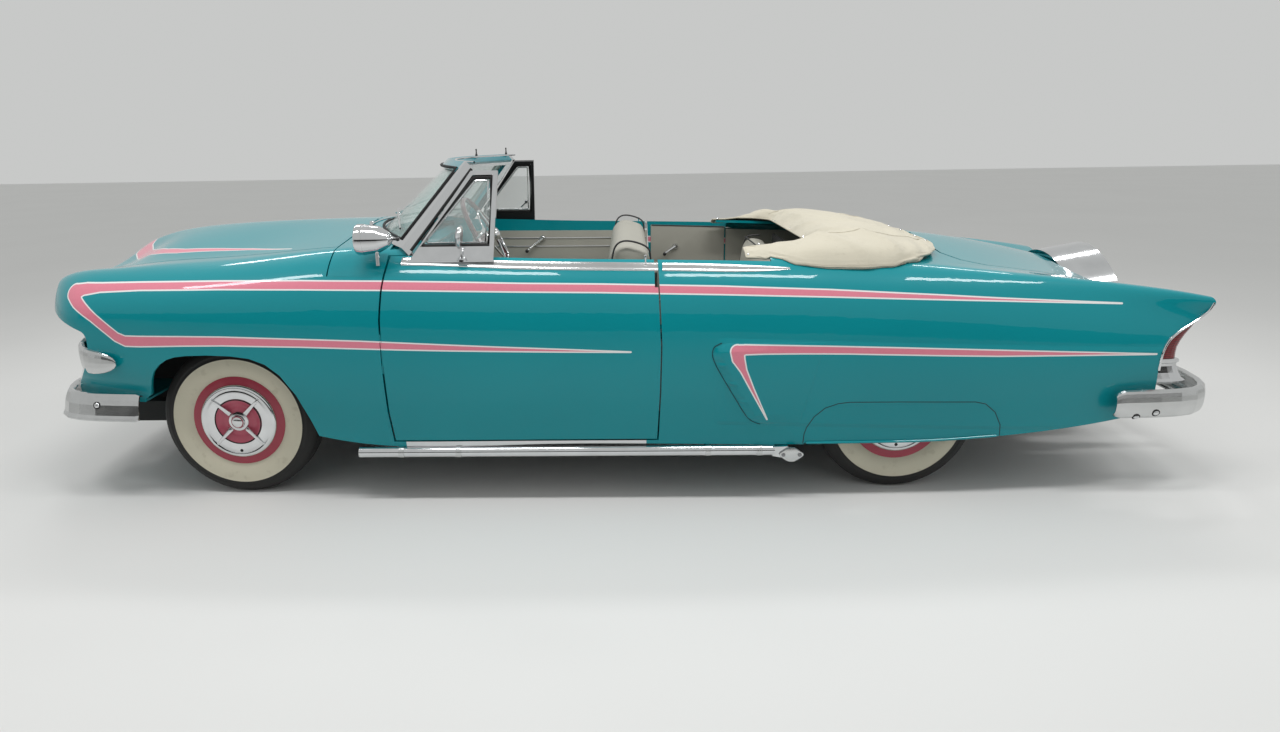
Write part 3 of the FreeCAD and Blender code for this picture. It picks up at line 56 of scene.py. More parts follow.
# Painted lines in metres: (along, up, half width) from the nose to the tail
SHOULDER_LINE = (
    (2.325, 0.937, 0.0335), (2.275, 0.952, 0.0235), (2.20, 0.9585, 0.0175),
    (2.02, 0.965, 0.0152), (1.67, 0.969, 0.0158), (1.32, 0.9684, 0.0175), (0.97, 0.963, 0.0178),
    (0.69, 0.9564, 0.0179), (0.40, 0.9485, 0.0168), (0.07, 0.9422, 0.0165),
    (-0.42, 0.9283, 0.0165), (-0.87, 0.9102, 0.0143), (-1.32, 0.8863, 0.0094),
    (-1.57, 0.8718, 0.0058), (-2.084, 0.8431, 0.0012),
)
FLANK_LINE = (
    (2.325, 0.937, 0.0335), (2.298, 0.902, 0.0265), (2.2254, 0.8413, 0.0200),
    (2.132, 0.756, 0.0215), (2.095, 0.7392, 0.0232), (2.03, 0.7384, 0.0232),
    (1.85, 0.7406, 0.0210), (1.67, 0.7405, 0.0193), (1.33, 0.7309, 0.0170),
    (1.08, 0.7216, 0.0166), (0.91, 0.7142, 0.0150), (0.70, 0.7055, 0.0124),
    (0.49, 0.698, 0.0094), (0.24, 0.690, 0.0060), (-0.05, 0.6812, 0.0012),
)
SCOOP_LINE = (
    (-0.6252, 0.3758, 0.0010), (-0.556, 0.515, 0.0078), (-0.5175, 0.597, 0.0135),
    (-0.494, 0.650, 0.0262), (-0.489, 0.680, 0.0285), (-0.52, 0.6875, 0.0205),
    (-0.60, 0.6868, 0.0185), (-0.75, 0.6837, 0.0170), (-0.95, 0.678, 0.0155),
    (-1.16, 0.6704, 0.0152), (-1.365, 0.6624, 0.0144), (-1.57, 0.6545, 0.0130),
    (-1.78, 0.6479, 0.0094), (-2.0, 0.6409, 0.0056), (-2.24, 0.6321, 0.0013),
)
HOOD_LINE = (
    (2.43, 0.0, 0.040), (2.40, 0.13, 0.040), (2.33, 0.25, 0.037), (2.24, 0.35, 0.034),
    (2.15, 0.42, 0.030), (2.03, 0.472, 0.026), (1.83, 0.505, 0.019), (1.675, 0.537, 0.011),
    (1.45, 0.625, 0.002),
)
SKIRT_SEAM = (
    (-0.787, 0.258, 0.001), (-0.789, 0.302, 0.001), (-0.797, 0.333, 0.001), (-0.825, 0.383, 0.001),
    (-0.869, 0.424, 0.001), (-0.921, 0.443, 0.001), (-0.970, 0.4495, 0.001),
    (-1.18, 0.4472, 0.001), (-1.391, 0.4429, 0.001), (-1.5, 0.4405, 0.001),
    (-1.545, 0.430, 0.001), (-1.592, 0.390, 0.001), (-1.624, 0.329, 0.001), (-1.632, 0.26, 0.001),
)
PINSTRIPE_WIDTH = 0.0055


def shaded(colour, share):
    """A lighter or darker shade of a colour."""
    return [min(1, value * share) for value in colour]


# Shader arithmetic

class Field:
    """A value or colour that varies over a surface, with plain arithmetic."""

    def __init__(self, finish, socket):
        self.finish = finish
        self.socket = socket

    def math(self, kind, *others, clamp=False):
        values = {index: value for index, value in enumerate((self,) + others)}
        return self.finish.node("Math", {"operation": kind, "use_clamp": clamp}, values)

    def vector(self, kind, *others, out=0):
        values = {index: value for index, value in enumerate((self,) + others)}
        return self.finish.node("VectorMath", {"operation": kind}, values, out)

    def __add__(self, other):
        return self.math("ADD", other)

    def __sub__(self, other):
        return self.math("SUBTRACT", other)

    def __rsub__(self, other):
        return (self * -1.0) + other

    def __mul__(self, other):
        return self.math("MULTIPLY", other)

    def __truediv__(self, other):
        return self.math("DIVIDE", other)

    def __pow__(self, other):
        return self.math("POWER", other)

    __radd__ = __add__
    __rmul__ = __mul__

    def above(self, edge, soft=0.0004):
        """1 where the value is over the edge, with a short ramp."""
        return self.finish.node("MapRange", {}, {
            "Value": self, "From Min": edge - soft, "From Max": edge + soft})

    def below(self, edge, soft=0.0004):
        return 1.0 - self.above(edge, soft)

    def least(self, other):
        return self.math("MINIMUM", other)

    def size(self):
        return self.math("ABSOLUTE")

    def wave(self, pitch):
        """Sine of the value, from -1 to 1, once in each pitch."""
        return (self * (2 * math.pi / pitch)).math("SINE")


class Finish:
    """One procedural material."""

    def __init__(self, name):
        self.material = bpy.data.materials.new(name)
        self.material.use_nodes = True
        self.tree = self.material.node_tree
        self.tree.nodes.clear()
        self.output = self.tree.nodes.new("ShaderNodeOutputMaterial")
        coords = self.tree.nodes.new("ShaderNodeTexCoord")
        self.place = Field(self, coords.outputs["Object"])
        split = self.tree.nodes.new("ShaderNodeSeparateXYZ")
        self.link(self.place, split.inputs[0])
        self.x, self.y, self.z = (Field(self, split.outputs[axis]) for axis in range(3))

    def link(self, value, socket):
        if isinstance(value, Field):
            self.tree.links.new(value.socket, socket)
        else:
            socket.default_value = value

    def node(self, kind, settings, values, out=0):
        """Any other node: its settings first, then the values of its sockets."""
        made = self.tree.nodes.new("ShaderNode" + kind)
        for name, value in settings.items():
            setattr(made, name, value)
        for name, value in values.items():
            self.link(value, made.inputs[name])
        return Field(self, made.outputs[out])

    def point(self, across, up):
        """Vector from two values."""
        return self.node("CombineXYZ", {}, {0: across, 1: up})

    def noise(self, scale, detail=2.0, rough=0.5, place=None):
        return self.node("TexNoise", {}, {
            "Vector": place or self.place, "Scale": scale, "Detail": detail, "Roughness": rough})

    def mix(self, factor, low, high):
        """Blend of two colours by a factor."""
        def colour(value):
            return value if isinstance(value, Field) else (*value, 1.0)
        return self.node("Mix", {"data_type": "RGBA"}, {0: factor, 6: colour(low), 7: colour(high)}, 2)

    def stretch(self, scale):
        return self.node("Mapping", {}, {"Vector": self.place, "Scale": scale})

    def stroke(self, across, up, points):
        """Distance to a line of changing half width, negative inside it."""
        place = self.point(across, up)
        nearest = None
        for (x_start, z_start, w_start), (x_end, z_end, w_end) in zip(points, points[1:]):
            run = Vector((x_end - x_start, z_end - z_start, 0))
            from_start = place.vector("SUBTRACT", (x_start, z_start, 0))
            share = from_start.vector("DOT_PRODUCT", tuple(run / run.length_squared), out=1)
            share = share.math("MULTIPLY", 1.0, clamp=True)
            foot = self.node("VectorMath", {"operation": "SCALE"}, {0: tuple(run), "Scale": share})
            far = from_start.vector("SUBTRACT", foot).vector("LENGTH", out=1)
            gap = far - share.math("MULTIPLY_ADD", w_end - w_start, w_start)
            nearest = gap if nearest is None else nearest.least(gap)
        return nearest

    def from_wheel(self):
        """Distance from the nearer axle's line, in the plane of the wheels."""
        along = (self.x - FRONT_AXLE).size().least((self.x - REAR_AXLE).size())
        return self.point(along, self.z - AXLE_Z).vector("LENGTH", out=1)

    def bump(self, height, distance, strength=1.0, normal=None):
        values = {"Height": height, "Distance": distance, "Strength": strength}
        if normal:
            values["Normal"] = normal
        return self.node("Bump", {}, values)

    def done(self, base, **values):
        """Principled surface; every name is a socket, with _ for a space."""
        if not isinstance(base, Field):
            base = (*base, 1.0)
        shader = self.node("BsdfPrincipled", {}, {"Base Color": base})
        sockets = shader.socket.node.inputs
        for name, value in values.items():
            self.link(value, sockets[name.replace("_", " ")])
        self.tree.links.new(shader.socket, self.output.inputs["Surface"])
        return self.material


FRONT_AXLE, REAR_AXLE, AXLE_Z = 1.7, -1.221, 0.345
FRONT_TRACK, REAR_TRACK = 0.7365, 0.711
SPARE_PLACE = (-2.307, 0, 0.612)
SPARE_AXIS = (-math.cos(math.radians(10)), 0, math.sin(math.radians(10)))
STEER_PLACE = (0.612, 0.380, 1.094)
STEER_AXIS = (-0.866, 0, 0.5)
BOOT_FRONT, BOOT_DEPTH, BOOT_REAR = -0.545, 0.315, -1.430
CANVAS_THICKNESS = 0.0022
CLOTH_GAP = 0.0035
PAD_VOXEL, PAD_FRAMES, DRAPE_FRAMES = 0.011, 16, 25
HEADLAMP = (2.428, 0.652, 0.880)
SPOTLIGHT = (1.000, 0.866, 1.150)
CARD_FACE = 0.7995
PIPE_OUT, PIPE_UP = 0.905, 0.230
MIRROR_PLACE = (0.6540, 0.8420, 1.152)

# Starts and ways of the rays that find the body's skin
BESIDE, OVERHEAD = 1.3, 1.6
INWARDS, DOWN = Vector((0, -1, 0)), Vector((0, 0, -1))

# Camera, in the photograph's own pixels
IMAGE_WIDTH, FOCAL_PIXELS, CENTRE_PIXEL = 1280, 827.2, 601.4
SENSOR = 36.0


# Finishes of this car

def clear_coat(finish, base, rough=0.35, normal=None):
    """Two-layer gloss paint with a faint waviness."""
    wave = finish.noise(7.0, 2.0)
    speck = finish.noise(900.0, 1.0)
    return finish.done(
        base, Roughness=rough + speck * 0.06, Specular_IOR_Level=0.12, Coat_Weight=1.0,
        Coat_Roughness=0.03, Coat_IOR=1.36, Normal=finish.bump(wave, 0.0012, 0.3, normal))


def lined_paint(name, lines, plan_line=None, seams=False):
    """Teal gloss paint with pink lines edged in white, on both sides of the car."""
    finish = Finish(name)
    cloud = finish.noise(1.6, 2.0)
    teal = finish.mix(cloud, (0.0, 0.236, 0.276), (0.0, 0.274, 0.314))
    outside = finish.y.size().above(0.55, 0.002)
    near = None
    for points in lines:
        gap = finish.stroke(finish.x, finish.z, points)
        near = gap if near is None else near.least(gap)
    if plan_line:
        near = finish.stroke(finish.x, finish.y.size(), plan_line)
        outside = finish.z.above(0.9, 0.002)
    base = teal
    if near:
        fleck = finish.noise(120.0, 2.0)
        pink = finish.mix(fleck, shaded(PINK, 0.94), shaded(PINK, 1.05))
        band = near.below(0.0) * outside
        edge = near.size().below(PINSTRIPE_WIDTH / 2, 0.0005) * outside
        base = finish.mix(edge, finish.mix(band, teal, pink), PINSTRIPE)
    normal = None
    if seams:
        top = finish.z - finish.x * 0.0404
        low = finish.z - finish.x * 0.0368
        raised = top.below(0.7436, 0.010) * low.above(0.3754, 0.008) * finish.x.below(-0.42, 0.02)
        normal = finish.bump(raised, 0.006, 0.8)
        # Painted shade: the skirt seam is darkened to near-black teal, standing in for the shade in the gap
        # between skirt and quarter
        seam = finish.stroke(finish.x, finish.z, SKIRT_SEAM)
        seam_shade = seam.below(0.0010, 0.0008) * outside
        base = finish.mix(seam_shade, base, (0.0, 0.02, 0.025))
    return clear_coat(finish, base, normal=normal)


def chrome_finish(name, tint=(0.74, 0.75, 0.76), rough=0.06, grain=0.0):
    """Bright plating with cloudy spots and fine pitting."""
    finish = Finish(name)
    cloud = finish.noise(11.0, 3.0)
    pit = finish.noise(700.0, 1.0)
    colour = finish.mix(cloud.above(0.5, 0.2), shaded(tint, 0.9), tint)
    return finish.done(
        colour, Metallic=1.0, Roughness=cloud * 0.08 + pit * grain + rough,
        Normal=finish.bump(finish.noise(18.0, 2.0), 0.0010, 0.25))


def satin(name, colour, rough=0.5, metal=0.0, grain=60.0, depth=0.0002, coat=0.0):
    """Plain hard finish with a fine mottled grain."""
    finish = Finish(name)
    speck = finish.noise(grain, 3.0)
    shade = finish.mix(speck, shaded(colour, 0.82), shaded(colour, 1.18))
    return finish.done(
        shade, Roughness=speck * 0.2 + (rough - 0.1), Metallic=metal, Coat_Weight=coat,
        Normal=finish.bump(speck, depth, 0.4))


def tyre_rubber():
    """Black rubber with the wide white wall on the outer face only."""
    finish = Finish("whitewall_tyre")
    radius = finish.from_wheel()
    front_face = finish.x.above(0.0, 0.01)
    wheel_y = REAR_TRACK + front_face * (FRONT_TRACK - REAR_TRACK)
    outer_face = (finish.y.size() - wheel_y).above(0.02, 0.002)
    scuff = finish.noise(26.0, 4.0)
    stain = finish.noise(5.0, 3.0)
    white = finish.mix(stain, shaded(WHITEWALL, 0.90), shaded(WHITEWALL, 1.06))
    white = finish.mix(scuff.above(0.66, 0.06) * 0.25, white, (0.35, 0.31, 0.22))
    black = finish.mix(scuff, (0.010, 0.010, 0.010), (0.024, 0.023, 0.022))
    wall = radius.above(0.201, 0.0008) * radius.below(0.2875, 0.0008) * outer_face
    ring = (radius - 0.2895).size().below(0.0012) + (radius - 0.3060).size().below(0.0008)
    normal = finish.bump(ring.math("MULTIPLY", 1.0, clamp=True) + scuff * 0.1, 0.0012, 0.7)
    return finish.done(
        finish.mix(wall, black, white), Roughness=0.62 + scuff * 0.2 - wall * 0.12, Normal=normal)


def spare_rubber():
    """Black rubber of the spare, with its white wall measured from the leaning axis."""
    finish = Finish("spare_whitewall")
    from_hub = finish.place.vector("SUBTRACT", SPARE_PLACE)
    along = from_hub.vector("DOT_PRODUCT", SPARE_AXIS, out=1)
    radial = from_hub.vector("SUBTRACT", finish.node(
        "VectorMath", {"operation": "SCALE"}, {0: SPARE_AXIS, "Scale": along}))
    radius = radial.vector("LENGTH", out=1)
    scuff = finish.noise(26.0, 4.0)
    white = finish.mix(finish.noise(5.0, 3.0), shaded(WHITEWALL, 0.88), WHITEWALL)
    wall = radius.above(0.205, 0.0008) * radius.below(0.2875, 0.0008) * along.above(0.02, 0.002)
    black = finish.mix(scuff, (0.010, 0.010, 0.010), (0.024, 0.023, 0.022))
    return finish.done(
        finish.mix(wall, black, white), Roughness=0.62 + scuff * 0.2,
        Normal=finish.bump(scuff, 0.0006, 0.4))


def spot_glass_finish():
    """Clear fluted glass of the spotlight over its bowl."""
    finish = Finish("spotlight_glass")
    flute = finish.y.wave(0.006)
    return finish.done(
        (0.62, 0.66, 0.68), Metallic=0.5, Roughness=0.1, Coat_Weight=1.0, Coat_Roughness=0.02,
        Normal=finish.bump(flute, 0.0010, 0.7))


def wheel_enamel():
    """Red enamel of the rims."""
    finish = Finish("rim_enamel")
    return clear_coat(finish, finish.mix(
        finish.noise(30.0, 3.0), shaded(RIM_RED, 0.85), RIM_RED), 0.4)


def hide_finish(name, colour, crease=0.0006):
    """Leather-like vinyl with a fine cell grain."""
    finish = Finish(name)
    cell = finish.node("TexVoronoi", {"feature": "DISTANCE_TO_EDGE"}, {
        "Vector": finish.place, "Scale": 260.0})
    cloud = finish.noise(6.0, 3.0)
    base = finish.mix(cloud, shaded(colour, 0.88), shaded(colour, 1.06))
    normal = finish.bump(cell.math("SQRT"), crease, 0.5)
    return finish.done(base, Roughness=0.5 + cloud * 0.12, Normal=finish.bump(cloud, 0.004, 0.2, normal))


def canvas_finish():
    """Coated cotton cloth with a plain weave, fine wrinkles and faint soiling."""
    finish = Finish("boot_canvas")
    warp = finish.x.wave(0.0011)
    weft = finish.y.wave(0.0011)
    weave = (warp * weft) * 0.5 + 0.5
    soil = finish.noise(4.0, 5.0, 0.65)
    spot = finish.noise(38.0, 2.0)
    base = finish.mix(soil, shaded(CANVAS, 0.86), shaded(CANVAS, 1.05))
    base = finish.mix(spot.above(0.68, 0.05) * 0.18, base, (0.34, 0.30, 0.22))
    wrinkle = finish.noise(26.0, 4.0, 0.6, finish.stretch((1.0, 2.2, 1.0)))
    normal = finish.bump(weave, 0.0003, 0.5)
    return finish.done(
        base, Roughness=0.78 + soil * 0.1, Sheen_Weight=0.15, Sheen_Roughness=0.5,
        Normal=finish.bump(wrinkle, 0.0022, 0.45, normal))


def carpet_finish():
    """Short cut pile."""
    finish = Finish("floor_carpet")
    tuft = finish.noise(420.0, 2.0)
    shade = finish.mix(tuft, (0.012, 0.030, 0.032), (0.035, 0.070, 0.074))
    return finish.done(shade, Roughness=0.95, Sheen_Weight=0.3, Normal=finish.bump(tuft, 0.003, 0.8))


def glass_finish(name, tint, alpha):
    """Window glass with faint smears."""
    finish = Finish(name)
    smear = finish.noise(9.0, 3.0)
    return finish.done(
        tint, Roughness=smear * 0.05 + 0.005, IOR=1.5, Alpha=alpha, Coat_Weight=0.5, Coat_Roughness=0.02)


def lens_finish():
    """Dark red lens with fine ribs across."""
    finish = Finish("tail_lens_red")
    flute = finish.z.wave(0.009)
    return finish.done(
        finish.mix(flute * 0.5 + 0.5, (0.10, 0.002, 0.005), (0.26, 0.006, 0.012)),
        Roughness=0.16, Specular_IOR_Level=0.2, Coat_Weight=1.0, Coat_Roughness=0.03, Coat_IOR=1.36,
        Normal=finish.bump(flute, 0.0009, 0.6))


def lamp_glass_finish():
    """Headlamp glass over its silvered bowl, fluted upright."""
    finish = Finish("headlamp_glass")
    side = finish.y.size() - HEADLAMP[1]
    radius = finish.point(side, finish.z - HEADLAMP[2]).vector("LENGTH", out=1)
    flute = side.wave(0.0105)
    rings = radius.wave(0.018)
    pattern = flute * radius.below(0.075, 0.002) + rings * 0.4
    return finish.done(
        finish.mix(radius.above(0.080, 0.002), (0.62, 0.66, 0.68), (0.35, 0.36, 0.37)),
        Metallic=0.55, Roughness=0.10, Coat_Weight=1.0, Coat_Roughness=0.02,
        Normal=finish.bump(pattern, 0.0016, 0.8))


def screen_frame_finish():
    """Bright pillars under a body-coloured header rail."""
    finish = Finish("screen_frame")
    header = finish.z.above(1.408, 0.001) * finish.y.size().below(0.668, 0.001)
    cloud = finish.noise(12.0, 3.0)
    return finish.done(
        finish.mix(header, (0.72, 0.73, 0.74), TEAL), Metallic=1.0 - header,
        Roughness=header * 0.25 + cloud * 0.08 + 0.06, Coat_Weight=header, Coat_Roughness=0.03)


FENDER_PAINT = lined_paint("fender_paint", (SHOULDER_LINE[:8], FLANK_LINE[:11]))
DOOR_PAINT = lined_paint("door_paint", (SHOULDER_LINE[6:12], FLANK_LINE[9:]))
QUARTER_PAINT = lined_paint("quarter_paint", (SHOULDER_LINE[9:], SCOOP_LINE), seams=True)
HOOD_PAINT = lined_paint("hood_paint", (), HOOD_LINE)
PLAIN_PAINT = lined_paint("body_paint", ())
SKIRT_PAINT = lined_paint("skirt_paint", (), seams=True)
SHADOW_PAINT = clear_coat(Finish("shadow_paint"), (0.0, 0.055, 0.068))
UNDER_PAINT = satin("underbody_paint", (0.02, 0.021, 0.021), 0.75, grain=120.0, depth=0.0012)
CHROME = chrome_finish("bright_chrome")
WORN_CHROME = chrome_finish("pitted_chrome", (0.66, 0.67, 0.67), 0.10, 0.12)
BLACK = satin("satin_black", (0.013, 0.013, 0.014), 0.42, coat=0.2)
GASKET = satin("gasket_rubber", (0.010, 0.010, 0.010), 0.75)
STEEL = satin("bare_steel", (0.30, 0.30, 0.31), 0.4, 1.0)
IRON = satin("cast_iron", (0.05, 0.052, 0.055), 0.62, 0.6, 90.0, 0.0012)
TYRE = tyre_rubber()
SPARE_RUBBER = spare_rubber()
RIM = wheel_enamel()
TRIM_HIDE = hide_finish("beige_vinyl", HIDE)
DARK_HIDE = hide_finish("dark_vinyl", (0.05, 0.052, 0.05))
DARK_PIPING = hide_finish("piping_vinyl", PIPING, 0.0002)
BOOT_CANVAS = canvas_finish()
CARPET = carpet_finish()
SCREEN_GLASS = glass_finish("tinted_glass", (0.62, 0.80, 0.76), 0.30)
VENT_GLASS = glass_finish("clear_glass", (0.80, 0.90, 0.88), 0.16)
MIRROR_GLASS = chrome_finish("mirror_glass", (0.88, 0.90, 0.90), 0.01)
LENS = lens_finish()
LAMP_GLASS = lamp_glass_finish()
SPOT_GLASS = spot_glass_finish()
WHEEL_RIM = clear_coat(Finish("steering_maroon"), (0.10, 0.018, 0.022), 0.3)
PINK_DISH = clear_coat(Finish("dish_pink"), (0.50, 0.10, 0.15), 0.3)

SLOTS = {
    "body_paint": PLAIN_PAINT, "under_paint": UNDER_PAINT, "chrome": CHROME, "black_frame": BLACK,
    "steel": STEEL, "wheel_paint": RIM, "tyre": TYRE, "trim": TRIM_HIDE,
    "boot_cloth": BOOT_CANVAS, "glass": VENT_GLASS, "lamp_glass": LAMP_GLASS, "lens": LENS,
    "wheel_rim": WHEEL_RIM, "cast": IRON, "tank_steel": UNDER_PAINT,
}
OWN_FINISH = {
    "front_fender_left": FENDER_PAINT, "front_fender_right": FENDER_PAINT,
    "door_left": DOOR_PAINT, "door_right": DOOR_PAINT,
    "quarter_left": QUARTER_PAINT, "quarter_right": QUARTER_PAINT,
    "fender_skirts": SKIRT_PAINT, "hood": HOOD_PAINT, "body_tub": CARPET,
    "windshield_frame": screen_frame_finish(), "windshield_glass": SCREEN_GLASS,
    "front_bumper": WORN_CHROME, "rear_bumper": WORN_CHROME, "grille_bar": WORN_CHROME,
    "engine_block": IRON, "chassis_frame": UNDER_PAINT, "front_suspension": UNDER_PAINT,
}
for row in frame["record"]["subparts"]:
    node = NODES[row["node"]]
    node.data.materials.clear()
    node.data.materials.append(OWN_FINISH.get(row["node"], SLOTS[row["material_slot"]]))


# Making of pieces

def only(*objects):
    """Select these objects alone; the last one is active."""
    bpy.ops.object.select_all(action="DESELECT")
    for obj in objects:
        obj.select_set(True)
    bpy.context.view_layer.objects.active = objects[-1]
    return objects[-1]


def edit(obj, *steps):
    """Run edit-mode steps with the whole mesh selected before each."""
    only(obj)
    bpy.ops.object.mode_set(mode="EDIT")
    for step in steps:
        bpy.ops.mesh.select_all(action="SELECT")
        step()
    bpy.ops.object.mode_set(mode="OBJECT")
    return obj


def modify(obj, kind, **values):
    """Add one modifier and apply it."""
    only(obj)
    change = obj.modifiers.new(kind.lower(), kind)
    for name, value in values.items():
        setattr(change, name, value)
    bpy.ops.object.modifier_apply(modifier=change.name)
    return obj


def tidy_mesh():
    """Merge doubles and turn all faces outwards, in edit mode."""
    bpy.ops.mesh.remove_doubles(threshold=0.00002)
    bpy.ops.mesh.normals_make_consistent(inside=False)


def tube(points, radius, kind="NURBS", closed=False, taper=None, section=None):
    """Round bar, or a moulding with its own section, along a route."""
    data = bpy.data.curves.new("route", "CURVE")
    data.dimensions = "3D"
    data.twist_mode = "Z_UP"
    data.resolution_u = 6
    if section:
        data.bevel_mode = "OBJECT"
        data.bevel_object = section
    else:
        data.bevel_depth = radius
        data.bevel_resolution = 3
    data.use_fill_caps = True
    spline = data.splines.new(kind)
    spline.points.add(len(points) - 1)
    for index, point in enumerate(points):
        spline.points[index].co = (*point, 1.0)
        spline.points[index].radius = taper[index] if taper else 1.0
    spline.use_cyclic_u = closed
    if kind == "NURBS":
        spline.order_u = 3
        spline.use_endpoint_u = not closed
    obj = bpy.data.objects.new("route", data)
    bpy.context.collection.objects.link(obj)
    only(obj)
    bpy.ops.object.convert(target="MESH")
    return edit(bpy.context.object, tidy_mesh)


def section_curve(outline):
    """Closed section for a moulding."""
    data = bpy.data.curves.new("section", "CURVE")
    data.dimensions = "2D"
    spline = data.splines.new("POLY")
    spline.points.add(len(outline) - 1)
    for index, point in enumerate(outline):
        spline.points[index].co = (*point, 0.0, 1.0)
    spline.use_cyclic_u = True
    obj = bpy.data.objects.new("section", data)
    bpy.context.collection.objects.link(obj)
    return obj


def ring_points(centre, axis, radius, count):
    """Points of a circle about an axis."""
    axis = Vector(axis).normalized()
    side = axis.orthogonal().normalized()
    other = axis.cross(side)
    turns = [2 * math.pi * step / count for step in range(count)]
    return [Vector(centre) + (side * math.cos(turn) + other * math.sin(turn)) * radius for turn in turns]


def joined(*pieces):
    """One object of several."""
    only(*reversed(pieces))
    if len(pieces) > 1:
        bpy.ops.object.join()
    return bpy.context.view_layer.objects.active


def copied(obj, mirror=False):
    """Copy with its own mesh, mirrored across the car if asked."""
    only(obj)
    bpy.ops.object.duplicate()
    twin = bpy.context.object
    if mirror:
        twin.scale = (1, -1, 1)
    bpy.ops.object.transform_apply(location=True, rotation=True, scale=True)
    if mirror:
        edit(twin, bpy.ops.mesh.flip_normals)
    return twin


def fitted(obj, name, body, finish, smooth=35):
    """Name, finish and body of a ready piece."""
    only(obj)
    obj.name = name
    if finish:
        obj.data.materials.clear()
        obj.data.materials.append(finish)
    bpy.ops.object.shade_smooth_by_angle(angle=math.radians(smooth))
    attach(obj, body)
    return obj


def fitted_pair(obj, name, body, finish, smooth=35):
    """A left piece and its mirror image; a body name with a side follows it."""
    twin = copied(obj, mirror=True)
    for side, item in (("left", obj), ("right", twin)):
        fitted(item, "%s_%s" % (name, side), body.replace("SIDE", side), finish, smooth)
    return obj, twin


def outline(points):
    """Closed ring of edges through the given points."""
    bpy.ops.object.select_all(action="DESELECT")
    bpy.ops.mesh.primitive_circle_add(vertices=len(points), radius=0.01)
    obj = bpy.context.object
    for vertex, point in zip(obj.data.vertices, points):
        vertex.co = point
    return obj


def spun(profile, centre, axis, steps=64):
    """Closed form turned about an axis from (radius, along) points."""
    axis = Vector(axis).normalized()
    side = axis.orthogonal().normalized()
    obj = outline([Vector(centre) + side * radius + axis * along for radius, along in profile])
    return edit(
        obj,
        lambda: bpy.ops.mesh.spin(steps=steps, angle=2 * math.pi, center=centre, axis=axis),
        tidy_mesh, bpy.ops.mesh.delete_loose)


def plate(points, path, bevel=0.0, segments=2):
    """Flat outline given thickness along a path, with softened edges."""
    obj = outline(points)
    edit(
        obj, bpy.ops.mesh.edge_face_add,
        lambda: bpy.ops.mesh.extrude_region_move(TRANSFORM_OT_translate={"value": path}),
        tidy_mesh)
    if bevel:
        modify(obj, "BEVEL", width=bevel, segments=segments, angle_limit=math.radians(30))
    return obj


def cloth_grid(columns, rows, rule):
    """Grid whose points follow a rule of (across, along), both from 0 to 1."""
    bpy.ops.object.select_all(action="DESELECT")
    bpy.ops.mesh.primitive_grid_add(x_subdivisions=columns, y_subdivisions=rows, size=2)
    obj = bpy.context.object
    for vertex in obj.data.vertices:
        vertex.co = rule(vertex.co.x / 2 + 0.5, vertex.co.y / 2 + 0.5)
    return obj


def placed(obj, matrix, mirror=False):
    """Copy with its own mesh, put in place by a matrix and mirrored if asked."""
    twin = copied(obj)
    twin.data.transform(matrix)
    if mirror:
        twin.data.transform(Matrix.Scale(-1, 4, (0, 1, 0)))
        twin.data.flip_normals()
    return twin


def between(rows, value):
    """Values at one place of a table of rows, blended between its rows."""
    if value >= rows[0][0]:
        return rows[0][1:]
    for first, second in zip(rows, rows[1:]):
        if value >= second[0]:
            share = (first[0] - value) / (first[0] - second[0])
            share = share * share * (3 - 2 * share)
            return [a + (b - a) * share for a, b in zip(first[1:], second[1:])]
    return rows[-1][1:]


def on_skin(node, along, up, proud=0.0):
    """Point on the outer left side of a panel, moved out along its normal."""
    hit, place, normal = NODES[node].ray_cast(Vector((along, BESIDE, up)), INWARDS)[:3]
    if not hit:
        raise RuntimeError("no skin at %.3f %.3f of %s" % (along, up, node))
    return place + normal * proud


def lowest_skin(node, along, up):
    """Lowest point of a panel's outer side at one place along the car."""
    while not NODES[node].ray_cast(Vector((along, BESIDE, up)), INWARDS)[0]:
        up += 0.002
    return on_skin(node, along, up)


def on_top(node, along, across, proud=0.0):
    """Point on the top of a panel, moved up along its normal."""
    hit, place, normal = NODES[node].ray_cast(Vector((along, across, OVERHEAD)), DOWN)[:3]
    if not hit:
        raise RuntimeError("no top at %.3f %.3f of %s" % (along, across, node))
    return place + normal * proud


def swelled(obj, limit):
    """Cushion blown up by a short cloth run, with the movement of each point capped."""
    modify(obj, "REMESH", mode="VOXEL", voxel_size=PAD_VOXEL)
    start = [vertex.co.copy() for vertex in obj.data.vertices]
    only(obj)
    cloth = obj.modifiers.new("padding", "CLOTH")
    cloth.settings.use_pressure = True
    cloth.settings.uniform_pressure_force = 4.0
    cloth.settings.tension_stiffness = 25
    cloth.settings.compression_stiffness = 25
    cloth.settings.bending_stiffness = 1.0
    cloth.settings.effector_weights.gravity = 0.0
    for number in range(1, PAD_FRAMES + 1):
        bpy.context.scene.frame_set(number)
    bpy.ops.object.modifier_apply(modifier=cloth.name)
    bpy.context.scene.frame_set(1)
    for vertex, origin in zip(obj.data.vertices, start):
        step = vertex.co - origin
        if step.length > limit:
            vertex.co = origin + step * (limit / step.length)
    modify(obj, "SMOOTH", factor=0.5, iterations=4)
    return obj


# Wheels and tyres

